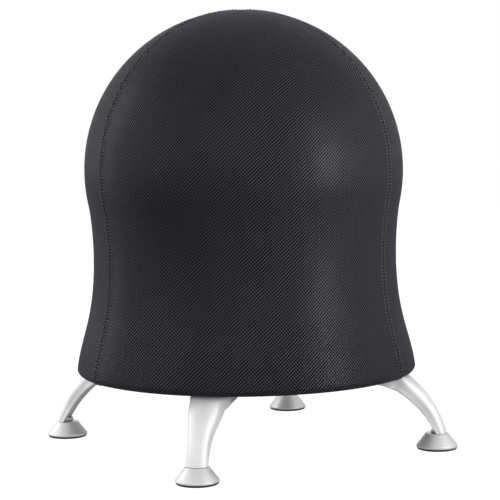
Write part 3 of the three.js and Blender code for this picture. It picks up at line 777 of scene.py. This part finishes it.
# %% Topstitching
stitch_length = 2.9 * MM
thread_radius = 0.52 * MM
thread_lift = 0.6 * thread_radius
crown_gap = 12 * MM
small_turn = 1e-3


def stitch():
    """One stitch along X: a short bead of thread."""
    shape = bmesh.new()
    bmesh.ops.create_uvsphere(shape, u_segments=8, v_segments=5, radius=1)
    bmesh.ops.scale(
        shape, verts=shape.verts, vec=(thread_radius, thread_radius, stitch_length / 2),
    )
    turn = Matrix.Rotation(math.pi / 2, 3, "Y")
    bmesh.ops.rotate(shape, verts=shape.verts, cent=(0, 0, 0), matrix=turn)
    return shape


def set_down(single, settings):
    """One small shape, set down at every setting and joined in one mesh."""
    unit = bpy.data.meshes.new("unit")
    single.to_mesh(unit)
    single.free()
    row = bmesh.new()
    for setting in settings:
        before = len(row.verts)
        row.from_mesh(unit)
        row.verts.ensure_lookup_table()
        bmesh.ops.transform(row, matrix=setting, verts=row.verts[before:])
    bpy.data.meshes.remove(unit)
    return row


def seam_row(seam_angle, offset):
    """The settings of one row of stitches, a fixed distance beside a seam."""
    along = first_stitch
    while along < outline.length - crown_gap:
        angle = seam_angle + offset / outline.find(along)[0].x
        next_angle = seam_angle + offset / outline.find(along + MM)[0].x
        point = on_cloth(angle, along, thread_lift)
        way = (on_cloth(next_angle, along + MM, thread_lift) - point).normalized()
        out = (on_cloth(angle + small_turn, along) - point).cross(way)
        if out.dot(point - Vector((0, 0, dome_centre))) < 0:
            out.negate()
        across = out.normalized().cross(way).normalized()
        setting = Matrix((way, across, way.cross(across).normalized())).transposed().to_4x4()
        setting.translation = point
        yield setting
        along += stitch_pitch


for index in range(3):
    seam_angle = math.radians(first_seam + gore_span * index)
    rows = [*seam_row(seam_angle, -topstitch_offset), *seam_row(seam_angle, topstitch_offset)]
    piece = object_from(set_down(stitch(), rows), f"seam_stitches_{index + 1}", thread, sharp=80)
    register(piece, "root", "mesh_fabric")
    print("seam", index + 1, "has", len(rows), "stitches")

# %% [markdown]
# The ball inside is a plain inflated sphere with a valve boss, hidden by the cover but there when
# the cover is opened. It is turned, with its wall, from the same centre as the dome.

# %% Sitting ball
ball_low, ball_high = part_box("ball_shell")
ball_radius = (ball_high.z - ball_low.z) / 2
ball_wall = 2 * MM
valve_radius = 4.5 * MM
valve_boss_radius = 12 * MM
valve_boss_rise = 4 * MM


def sitting_ball():
    """The ball's outside down to the valve, over the boss, and back up along its inside."""
    centre = Vector((0, (ball_high.z + ball_low.z) / 2))
    inner = ball_radius - ball_wall
    boss = inner - valve_boss_rise
    up = math.pi / 2
    points = list(arc(centre, ball_radius, up, -math.acos(valve_radius / ball_radius), 64))
    for radius in (valve_radius, valve_boss_radius):
        points.append(Vector((radius, centre.y - math.sqrt(boss ** 2 - radius ** 2))))
    points += list(arc(centre, inner, -math.acos(valve_boss_radius / inner), up, 60))
    points[0].x = points[-1].x = 0
    return object_from(turned([tuple(point) for point in points]), "sitting_ball", vinyl)


register(sitting_ball(), "root", "ball_vinyl", "ball_shell")
print("ball radius", round(ball_radius, 4))

# %% [markdown]
# The cast legs are what the eye rests on. In side view a leg is two curves: the outer one falls
# from under the rim to the foot, the inner one springs from the knee. Between them the section
# changes from a rounded crown at the foot to a square plate under the base. A ring of points is
# extruded from station to station along the pair of curves, as a loft, and then the nut pocket,
# the bolting seat and the bolt holes are cut or joined as they are in the casting.

# %% Leg curves
seat_rise = 2.8 * MM
shoulder_radius = 214.5 * MM
knee_radius = 205 * MM
knee_depth = 19.6 * MM
toe_reach = 12.4 * MM
heel_reach = 0.8 * MM
shoulder = Vector((shoulder_radius, leg_high.z - seat_rise))
knee = Vector((knee_radius, shoulder.y - knee_depth))
toe = Vector((foot_circle + toe_reach, leg_foot))
heel = Vector((foot_circle + heel_reach, leg_foot))
tip_depth = 8.2 * MM
knee_slope = math.radians(25)
foot_width = 26.5 * MM
shoulder_width = 41 * MM
tip_width = 60 * MM
outer_shares = ((0.135, 0.438), (0.578, 0.845))
inner_shares = ((0.209, 0.34), (0.543, 0.793))
inner_pace = 0.8
tip_shares = (0.34, 0.27)
widening = (0.2, 0.9)
flare_pace = 0.6
crown_squareness = 2.3
plate_squareness = 5
squaring_power = 8


def curve_point(start, handle_a, handle_b, end, share):
    """A point of a curve with two handles."""
    rest = 1 - share
    return (
        start * rest ** 3 + handle_a * 3 * share * rest ** 2
        + handle_b * 3 * share ** 2 * rest + end * share ** 3
    )


def handles(start, end, shares):
    """Two handles, each at its shares of the way out and of the way up."""
    return [
        Vector((start.x + (end.x - start.x) * out, start.y + (end.y - start.y) * up))
        for out, up in shares
    ]


def smooth(value, low, high):
    """0 below low, 1 above high and smooth between."""
    share = min(max((value - low) / (high - low), 0), 1)
    return share * share * (3 - 2 * share)


def arch_station(share):
    """Outer point, inner point, width and squareness at a share of the arch."""
    outer = curve_point(toe, *handles(toe, shoulder, outer_shares), shoulder, share)
    inner = curve_point(heel, *handles(heel, knee, inner_shares), knee, share ** inner_pace)
    width = foot_width + (shoulder_width - foot_width) * smooth(share, *widening)
    squaring = (plate_squareness - crown_squareness) * share ** squaring_power
    return outer, inner, width, crown_squareness + squaring


def plate_station(share):
    """The same along the plate under the base."""
    tip = Vector((leg_tip, shoulder.y - tip_depth))
    run = knee.x - tip.x
    slope = Vector((-math.cos(knee_slope), math.sin(knee_slope)))
    outer = shoulder.lerp(Vector((leg_tip, shoulder.y)), share)
    leaving_knee = knee + slope * tip_shares[0] * run
    nearing_tip = tip + Vector((tip_shares[1] * run, 0))
    inner = curve_point(knee, leaving_knee, nearing_tip, tip, share)
    width = shoulder_width + (tip_width - shoulder_width) * share ** flare_pace
    return outer, inner, width, plate_squareness


print("leg from", round(leg_tip, 4), "to", round(toe.x, 4), "m out from the middle")

# %% [markdown]
# The section is a crown on straight flanks with small round corners at the inside, as a mould
# leaves it. A higher squareness flattens the crown. The plate's end is trimmed to a half circle.
# Each station of the leg gets one ring of points with this section.

# %% Leg section
edge_radius = 1.1 * MM
flank_share = 0.34
draft_share = 1.08
crown_points = 28
corner_points = 5
flank_points = 4
face_points = 7
foot_round = 0.6 * MM
foot_round_steps = 4
first_arch_share = 0.01
arch_steps = 56
plate_steps = 30


def section(depth, width, squareness):
    """Points of (side, depth) round a section, from one inner corner over the crown and back."""
    half_foot = draft_share * width / 2
    flank_top = flank_share * depth
    corner = Vector((half_foot - edge_radius, edge_radius))
    points = list(arc(corner, edge_radius, -math.pi / 2, 0, corner_points))
    top = Vector((width / 2, flank_top))
    start = points[-1]
    points += [start.lerp(top, step / flank_points) for step in range(1, flank_points)]
    for step in range(crown_points + 1):
        turn = math.pi * step / crown_points
        side = math.copysign(abs(math.cos(turn)) ** (2 / squareness), math.cos(turn))
        lift = abs(math.sin(turn)) ** (2 / squareness)
        points.append(Vector((side * width / 2, flank_top + (depth - flank_top) * lift)))
    right = points[: corner_points + flank_points]
    points += [Vector((-point.x, point.y)) for point in reversed(right)]
    left, back = points[-1], points[0]
    points += [left.lerp(back, step / face_points) for step in range(1, face_points)]
    return points


def ring_points(station, inset=0.0):
    """The section at a station, set into the leg's plane, drawn in by an inset."""
    outer, inner, width, squareness = station
    depth = (outer - inner).length
    way = (outer - inner) / depth
    shrink = 1 - 2 * inset / width
    middle = depth / 2
    ring = []
    for side, out in section(depth, width, squareness):
        out = middle + (out - middle) * (1 - 2 * inset / depth)
        place = inner + way * out
        side *= shrink
        beyond = leg_tip + tip_width / 2 - place.x
        if beyond > 0:
            limit = math.sqrt(max((tip_width / 2) ** 2 - beyond ** 2, 0))
            side = max(-limit, min(limit, side))
        ring.append(Vector((place.x, side, place.y)))
    return ring


def leg_rings():
    """The rings of the rounded foot, of the arch and of the plate, closer towards its end."""
    rings = []
    for step in range(foot_round_steps):
        turn = step / foot_round_steps * math.pi / 2
        ring = ring_points(arch_station(0), foot_round * (1 - math.sin(turn)))
        rise = Vector((0, 0, foot_round * (1 - math.cos(turn))))
        rings.append([point + rise for point in ring])
    for step in range(arch_steps + 1):
        share = first_arch_share + (1 - first_arch_share) * step / arch_steps
        rings.append(ring_points(arch_station(share)))
    for step in range(1, plate_steps):
        rings.append(ring_points(plate_station(1 - (1 - step / plate_steps) ** 2)))
    return rings


stations = leg_rings()
print("the leg has", len(stations), "rings of", len(stations[0]), "points")

# %% [markdown]
# The loft starts as one ring, which is extruded from station to station and set down on that
# station's points. The operator doesn't say which new point belongs to which old one, so the edge
# from each old point to its new one is followed. Both ends are then filled.

# %% Loft


def extruded(shape, ring):
    """The next ring of points, in the order of the ring that it grows from."""
    edges = [shape.edges.get(pair) for pair in zip(ring, ring[1:] + ring[:1])]
    grown = bmesh.ops.extrude_edge_only(shape, edges=edges)["geom"]
    fresh = {item for item in grown if isinstance(item, bmesh.types.BMVert)}
    following = []
    for vert in ring:
        neighbours = [edge.other_vert(vert) for edge in vert.link_edges]
        following += [neighbour for neighbour in neighbours if neighbour in fresh]
    return following


def lofted(rings):
    """One ring of points, extruded from station to station, with both ends closed."""
    shape = bmesh.new()
    ring = bmesh.ops.create_circle(shape, segments=len(rings[0]), radius=1)["verts"]
    for index, places in enumerate(rings):
        if index:
            ring = extruded(shape, ring)
        for vert, place in zip(ring, places):
            vert.co = place
    bmesh.ops.holes_fill(shape, edges=[edge for edge in shape.edges if edge.is_boundary])
    return tidy(shape, 0.005 * MM)


# %% [markdown]
# The cutters are plain solids: cylinders for the nut pocket, the stud's bore and the bolts, and a
# stadium for the raised seat that passes through the cover to the base.

# %% Leg cutters and assembly
overcut = 2 * MM
nut_across_flats = 14.6 * MM
nut_radius = nut_across_flats / math.sqrt(3)
nut_height = 5.5 * MM
nut_side_room = 0.4 * MM
nut_head_room = 0.5 * MM
pocket_radius = nut_radius + nut_side_room
pocket_top = leg_foot + nut_height + nut_head_room
insert_radius = 5.5 * MM
insert_length = 9 * MM
seat_radius = 13 * MM
seat_sink = 0.4 * MM
bolt_grip = 8.5 * MM
bolt_seat = leg_high.z - bolt_grip
head_pocket_radius = 8.2 * MM
bolt_radius = 4 * MM
stud_bore_depth = 20.5 * MM
casting_sharpness = 32


def pillar(x, low, high, radius, segments=48):
    """An upright cylinder as a cutter."""
    shape = bmesh.new()
    bmesh.ops.create_cone(
        shape, cap_ends=True, segments=segments, radius1=radius, radius2=radius, depth=high - low,
    )
    moved(shape, x=x, z=(low + high) / 2)
    return object_from(shape, "cutter", paint)


def seat_block():
    """The raised seat: a stadium round both bolts."""
    shape = bmesh.new()
    bmesh.ops.create_circle(shape, cap_ends=True, segments=64, radius=seat_radius)
    for vert in shape.verts:
        vert.co.x += outer_bolt if vert.co.x > 0 else inner_bolt
    grown = bmesh.ops.extrude_face_region(shape, geom=shape.faces[:])["geom"]
    low = shoulder.y - seat_sink
    bmesh.ops.translate(shape, verts=shape.verts, vec=(0, 0, low))
    raised = [item for item in grown if isinstance(item, bmesh.types.BMVert)]
    bmesh.ops.translate(shape, verts=raised, vec=(0, 0, leg_high.z - low))
    bmesh.ops.recalc_face_normals(shape, faces=shape.faces)
    return object_from(shape, "cutter", paint)


def cast_leg():
    leg = object_from(lofted(stations), "cast_leg", paint, sharp=casting_sharpness)
    carved(leg, [seat_block()], "UNION")
    bolt_bore = bolt_radius + clearance
    insert_bore = insert_radius + clearance
    insert_top = pocket_top + insert_length + 2 * clearance
    below_foot = leg_foot - overcut
    below_plate = shoulder.y - shoulder_width
    tools = [
        pillar(foot_circle, below_foot, pocket_top, pocket_radius),
        pillar(foot_circle, below_foot, insert_top, insert_bore),
        pillar(foot_circle, below_foot, leg_foot + stud_bore_depth, bolt_bore),
    ]
    for radius in (inner_bolt, outer_bolt):
        tools.append(pillar(radius, below_plate, leg_high.z + overcut, bolt_bore))
        tools.append(pillar(radius, below_plate, bolt_seat, head_pocket_radius))
    carved(leg, tools)
    leg.data.shade_smooth()
    leg.data.set_sharp_from_angle(angle=math.radians(casting_sharpness))
    return leg


def quarter_copies(piece, name, body, slot, node):
    """A piece made on the right-hand leg, set down at each of the four legs."""
    for side, angle in leg_angles.items():
        copy = bpy.data.objects.new(f"{name}_{side}", piece.data.copy())
        copy.data.transform(Matrix.Rotation(math.radians(angle), 4, "Z"))
        bpy.context.scene.collection.objects.link(copy)
        register(copy, body.format(side=side), slot, node.format(side=side))
    print(name, "has", len(piece.data.polygons), "faces")
    bpy.data.objects.remove(piece)


quarter_copies(cast_leg(), "cast_leg", "root", "leg_casting", "leg_{side}")

# %% [markdown]
# Each foot is a turned bell over a rubber pad, held by a screw with a nut. The bell's cone has a
# fine bright bevel at the top and a lip at the bottom. All are spun from their outlines and their
# edges softened, so that each edge catches a line of light.

# %% Bells and pads
bell_top_radius = 15.4 * MM
bell_base_radius = 27.3 * MM
bell_lip = 1.9 * MM
bell_bevel = 0.8 * MM
bell_wall = 2.5 * MM
bell_edge = 0.25 * MM
pad_radius = 26.4 * MM
pad_rise = 7 * MM
pad_corner = 0.8 * MM
pad_edge = 0.15 * MM
groove_inside = 20 * MM
groove_outside = 22 * MM
groove_slope = 0.4 * MM
groove_depth = 0.5 * MM


def bell_inside(height):
    """The bell's inner radius at a height."""
    fall = bell_top - bell_bevel - bell_base - bell_lip
    spread = (bell_base_radius - bell_top_radius) / fall
    return bell_top_radius - bell_wall + spread * (bell_top - bell_wall - height)


def foot_bell():
    bore = bolt_radius + clearance
    roof = bell_top - bell_wall
    shape = turned([
        (bore, bell_top),
        (bell_top_radius - bell_bevel, bell_top),
        (bell_top_radius, bell_top - bell_bevel),
        (bell_base_radius, bell_base + bell_lip),
        (bell_base_radius, bell_base),
        (bell_inside(bell_base), bell_base),
        (bell_inside(roof), roof),
        (bore, roof),
    ])
    soften(shape, bell_edge, 3, 20)
    return object_from(moved(shape, x=foot_circle), "bell", bell_finish)


def foot_pad():
    top = bell_base - clearance
    shape = turned([
        (0, 0),
        (groove_inside, 0),
        (groove_inside + groove_slope, groove_depth),
        (groove_outside - groove_slope, groove_depth),
        (groove_outside, 0),
        (pad_radius - pad_corner, 0),
        (pad_radius, pad_corner),
        (pad_radius, top),
        (bell_inside(bell_base) - 2 * clearance, top),
        (bell_inside(top + pad_rise) - 2 * clearance, top + pad_rise),
        (0, top + pad_rise),
    ])
    soften(shape, pad_edge, 2, 20)
    return object_from(moved(shape, x=foot_circle), "pad", rubber)


quarter_copies(foot_bell(), "foot_bell", "foot_{side}", "bell_casting", "foot_bell_{side}")
quarter_copies(foot_pad(), "foot_pad", "foot_{side}", "pad_rubber", "foot_pad_{side}")

# %% [markdown]
# A foot's stud is a screw with a flat head inside the bell and a lock nut on top of it. The
# thread is turned as rings, one ridge to a turn, and a hexagon with eased corners is the nut. The
# two are joined in one solid. Both have the same two materials and the faces of the nut ask for
# the second one, so that it stays paler than the screw.

# %% Studs with their nuts
thread_pitch = 1.25 * MM
thread_depth = 0.55 * MM
stud_head_radius = 7.5 * MM
stud_head_thickness = 3 * MM
stud_rise = 20 * MM
stud_tip = 0.8 * MM
ridge_start = 0.4 * thread_pitch
ridge_end = 0.55 * thread_pitch
nut_corner = 0.9 * MM
nut_chamfer = 0.5 * MM
stud_sharpness = 38


def threaded_outline(low, high):
    """A screw's flank as rings, a ridge for every turn of the thread."""
    points = []
    height = low
    while height < high - thread_pitch:
        points.append((bolt_radius - thread_depth, height))
        points.append((bolt_radius, height + ridge_start))
        points.append((bolt_radius, height + ridge_end))
        height += thread_pitch
    points.append((bolt_radius - thread_depth, height))
    return points


def hex_nut(low, height, radius):
    """A hexagon with the rounded corners that a chamfer leaves."""
    shape = bmesh.new()
    bmesh.ops.create_cone(
        shape, cap_ends=True, segments=6, radius1=radius, radius2=radius, depth=height,
    )
    upright = [
        edge for edge in shape.edges
        if abs(edge.verts[0].co.z - edge.verts[1].co.z) > height / 2
    ]
    bmesh.ops.bevel(
        shape, geom=upright, offset=nut_corner, offset_type="OFFSET", affect="EDGES",
        segments=3, profile=0.5, material=-1,
    )
    soften(shape, nut_chamfer, 2, 50)
    return moved(shape, z=low + height / 2)


def foot_stud():
    head_top = bell_top - bell_wall - clearance
    top = leg_foot + stud_rise
    shape = turned(
        [
            (0, head_top - stud_head_thickness),
            (stud_head_radius, head_top - stud_head_thickness),
            (stud_head_radius, head_top),
            (bolt_radius - thread_depth, head_top),
        ]
        + threaded_outline(leg_foot + nut_height, top - stud_tip)
        + [(bolt_radius - stud_tip, top), (0, top)],
        48,
    )
    stud = object_from(moved(shape, x=foot_circle), "stud", dark_steel)
    nut_shape = moved(hex_nut(leg_foot, nut_height, nut_radius), x=foot_circle)
    nut = object_from(nut_shape, "nut", dark_steel)
    for piece in (stud, nut):
        piece.data.materials.append(steel)
    for face in nut.data.polygons:
        face.material_index = 1
    carved(stud, [nut], "UNION")
    stud.data.shade_smooth()
    stud.data.set_sharp_from_angle(angle=math.radians(stud_sharpness))
    return stud


quarter_copies(foot_stud(), "foot_stud", "stud_{side}", "stud_steel", "foot_stud_{side}")

# %% [markdown]
# Button-head bolts hold each leg to the base. The head is turned with a domed top, and its hexagon
# socket is cut out of it.

# %% Leg bolts
bolt_length = 20 * MM
bolt_head_radius = 7 * MM
bolt_head_height = 4.4 * MM
head_rim = 0.6 * MM
head_flat_radius = 4.2 * MM
head_flat_edge = 0.2 * MM
dome_turns = 8
plain_shank = 2 * MM
socket_radius = 2.9 * MM
socket_depth = 2.6 * MM


def leg_bolt(radius):
    top = bolt_seat - clearance
    low = top - bolt_head_height
    dome = [(0, low), (head_flat_radius, low)]
    for step in range(dome_turns + 1):
        turn = step / dome_turns * math.pi / 2
        out = bolt_head_radius * math.sin(turn)
        if out > head_flat_radius + head_flat_edge:
            fall = (bolt_head_height - head_rim) * math.cos(turn)
            dome.append((out, top - head_rim - fall))
    shape = turned(
        dome + [(bolt_head_radius, top), (bolt_radius - thread_depth, top)]
        + threaded_outline(top + plain_shank, top + bolt_length - stud_tip)
        + [(bolt_radius - stud_tip, top + bolt_length), (0, top + bolt_length)],
        40,
    )
    bolt = object_from(moved(shape, x=radius), "bolt", dark_steel)
    socket = pillar(radius, low - overcut, low + socket_depth, socket_radius, 6)
    return carved(bolt, [socket])


for place, radius in (("inner", inner_bolt), ("outer", outer_bolt)):
    quarter_copies(
        leg_bolt(radius), f"leg_bolt_{place}", "root", "bolt_steel", "leg_bolt_{side}_" + place,
    )

# %% [markdown]
# Underneath, a round panel of lining closes the cover. It is a sheet of cloth laid flat against
# the base, with a bound edge that the zip tape is sewn to.

# %% Bottom panel
panel_radius = 129 * MM
panel_top = underside + cloth_thickness - clearance
panel_edge = 1.1 * MM
panel_draw_up = 0.2 * MM
drawn_up_radius = 40 * MM
bound_width = 12 * MM


def bottom_panel():
    """A disc of cloth with a rounded edge, drawn up slightly at its middle."""
    middle = (underside + panel_top) / 2
    edge = Vector((panel_radius - panel_edge, middle))
    points = [
        (0, underside + panel_draw_up),
        (drawn_up_radius, underside + panel_draw_up),
        (panel_radius - bound_width, underside),
    ]
    points += [tuple(point) for point in arc(edge, panel_edge, -math.pi / 2, math.pi / 2, 10)]
    points.append((0, panel_top))
    return object_from(turned(points), "bottom_panel", lining)


panel = register(bottom_panel(), "root", "lining_fabric", "cover_bottom_panel")
print("bottom panel:", round(2 * panel_radius, 3), "m across")

# %% [markdown]
# The zip is a ring of woven tape with two rows of nylon coil that mesh. A turn of the coil is so
# small that an eased block stands for it, set down at each pitch from either side in turn.

# %% Zip tape and coil
closure_radius = 132 * MM
tape_width = 16 * MM
tape_thickness = 0.8 * MM
tape_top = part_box("zip_chain")[1].z
tape_bottom = tape_top - tape_thickness
selvage_width = 1.2 * MM
selvage_rise = 0.1 * MM
cord_reach = 3.4 * MM
cord_slope = 0.4 * MM
cord_height = 0.45 * MM
coil_start = math.radians(130)
coil_travel = math.radians(300)
tooth_pitch = 1.4 * MM
tooth_length = 3.2 * MM
tooth_width = 0.62 * tooth_pitch
tooth_height = 1.1 * MM
tooth_easing = 0.28 * MM
tooth_stagger = 0.75 * MM
tooth_drop = 0.9 * MM


def zip_tape():
    """The tape's section, with a woven cord under the coil, spun round the base."""
    inside = closure_radius - tape_width / 2
    outside = closure_radius + tape_width / 2
    cord_top = cord_reach - cord_slope
    points = [
        (inside, tape_bottom + selvage_rise),
        (inside + selvage_width, tape_bottom),
        (closure_radius - cord_reach, tape_bottom),
        (closure_radius - cord_top, tape_bottom - cord_height),
        (closure_radius + cord_top, tape_bottom - cord_height),
        (closure_radius + cord_reach, tape_bottom),
        (outside - selvage_width, tape_bottom),
        (outside, tape_bottom + selvage_rise),
        (outside, tape_top),
        (inside, tape_top),
    ]
    return object_from(turned(points, 160), "zip_tape", tape_weave)


def tooth():
    """One turn of the coil, lying across the tape."""
    shape = bmesh.new()
    bmesh.ops.create_cube(shape, size=1)
    bmesh.ops.scale(shape, verts=shape.verts, vec=(tooth_length, tooth_width, tooth_height))
    bmesh.ops.bevel(
        shape, geom=shape.edges[:], offset=tooth_easing, offset_type="OFFSET", affect="EDGES",
        segments=1, profile=0.5, material=-1,
    )
    return shape


def coil():
    count = int(coil_travel * closure_radius / tooth_pitch * 2)
    settings = []
    for index in range(count):
        angle = coil_start + coil_travel * (index + 0.5) / count
        side = tooth_stagger if index % 2 else -tooth_stagger
        place = (closure_radius + side, 0, tape_bottom - tooth_drop)
        settings.append(Matrix.Rotation(angle, 4, "Z") @ Matrix.Translation(place))
    print("the coil has", count, "teeth")
    return object_from(set_down(tooth(), settings), "zip_coil", coil_nylon, sharp=50)


register(zip_tape(), "root", "zip_tape", "zip_chain")
register(coil(), "root", "zip_tape")

# %% [markdown]
# The pieces that the frame already has in their final shape keep it and only get their finish.

# %% Finishes for the frame's own pieces
kept_finishes = {
    "pan_insert": brass_finish,
    "foot_insert": brass_finish,
    "zip_slider": steel,
    "zip_pull": steel,
    "ball_plug": plug_plastic,
    "base_pan": pan_plastic,
}

for start, finish in kept_finishes.items():
    kept = [node for name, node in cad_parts.items() if name.startswith(start)]
    for node in kept:
        node.data.materials.clear()
        node.data.materials.append(finish)
    print(start, "finished on", len(kept), "nodes")

# %% [markdown]
# A pale floor and soft studio light. The camera sees both the floor and the world as white,
# and the floor's glow is painted slightly dimmer near the chair, as painted shade, so that its
# shadow still shows there. Reflections see a white world and a grey floor. Large soft boxes
# stand in front, at both sides and behind. Two tall strips draw the pale bands that run down
# the cover and the legs, and a small lamp adds to the soft highlight on the ball's right.

# %% Floor, world and lamps
floor_reach = 12
floor_grey = 0.25
near_floor = 0.5
far_floor = 1.3
floor_glow = 0.95
floor_mirror_glow = 0.35
world_glow = 0.05


def stage_floor():
    shape = bmesh.new()
    bmesh.ops.create_grid(shape, x_segments=1, y_segments=1, size=floor_reach)
    finish = Finish("floor", {
        "Base Color": grey(floor_grey),
        "Roughness": 0.9,
        "Specular IOR Level": 0.0,
    })
    distance = finish.node(
        "ShaderNodeVectorMath", {"operation": "LENGTH"}, [finish.place()], output="Value",
    )
    # Painted shade: the floor's glow is dimmer near the chair and rises to full white between
    # near_floor and far_floor.
    tone = finish.between(finish.step(distance, near_floor, far_floor), floor_glow, 1.0)
    seen = finish.node("ShaderNodeLightPath", output="Is Camera Ray")
    mirrored = finish.node("ShaderNodeLightPath", output="Is Glossy Ray")
    white = finish.node("ShaderNodeEmission", inputs={
        "Color": tone, "Strength": seen + mirrored * floor_mirror_glow,
    })
    both = finish.node("ShaderNodeAddShader", inputs=[finish.shading(), white])
    object_from(shape, "floor", finish.show(both))


def studio_world():
    world = bpy.data.worlds.new("studio")
    world.use_nodes = True
    bpy.context.scene.world = world
    tree = world.node_tree
    backdrop = tree.nodes["Background"]
    backdrop.inputs["Color"].default_value = (1, 1, 1, 1)
    rays = tree.nodes.new("ShaderNodeLightPath")
    seen = tree.nodes.new("ShaderNodeMath")
    seen.operation = "MAXIMUM"
    tree.links.new(rays.outputs["Is Camera Ray"], seen.inputs[0])
    tree.links.new(rays.outputs["Is Glossy Ray"], seen.inputs[1])
    strength = tree.nodes.new("ShaderNodeMapRange")
    strength.inputs["To Min"].default_value = world_glow
    strength.inputs["To Max"].default_value = 1.0
    tree.links.new(seen.outputs[0], strength.inputs["Value"])
    tree.links.new(strength.outputs[0], backdrop.inputs["Strength"])


def soft_lamp(name, place, wide, tall, power, aim=(0, 0, 0.3), spread=180):
    """A soft box, wide and tall in metres. A narrow spread is a grid in front of it."""
    data = bpy.data.lights.new(name, "AREA")
    data.shape = "RECTANGLE"
    data.size = wide
    data.size_y = tall
    data.energy = power
    data.spread = math.radians(spread)
    lamp = bpy.data.objects.new(name, data)
    turn = (Vector(aim) - Vector(place)).to_track_quat("-Z", "Y").to_matrix().to_4x4()
    lamp.matrix_world = Matrix.Translation(place) @ turn
    bpy.context.scene.collection.objects.link(lamp)


stage_floor()
studio_world()
soft_lamp("fill", (-2.2, -2.0, 1.2), 2.6, 2.6, 43)
soft_lamp("front", (0.4, -2.8, 1.2), 2.0, 2.0, 20)
soft_lamp("side", (2.7, 0.3, 0.9), 1.8, 1.8, 15)
soft_lamp("back", (-2.2, 1.0, 1.0), 1.8, 1.8, 4)
soft_lamp("rear", (-0.64, 2.62, 0.6), 1.4, 1.4, 10)
soft_lamp("right strip", (1.857, -0.731, 0.8), 0.45, 1.6, 20)
soft_lamp("left strip", (-2.0, 0.2, 0.9), 0.5, 1.8, 18)
soft_lamp("accent", (1.686, -0.548, 0.5), 0.42, 0.42, 0.5, aim=(0.12, -0.13, 0.38), spread=22)
bpy.context.scene.view_settings.view_transform = "Standard"
print("lamps:", len(bpy.data.lights))
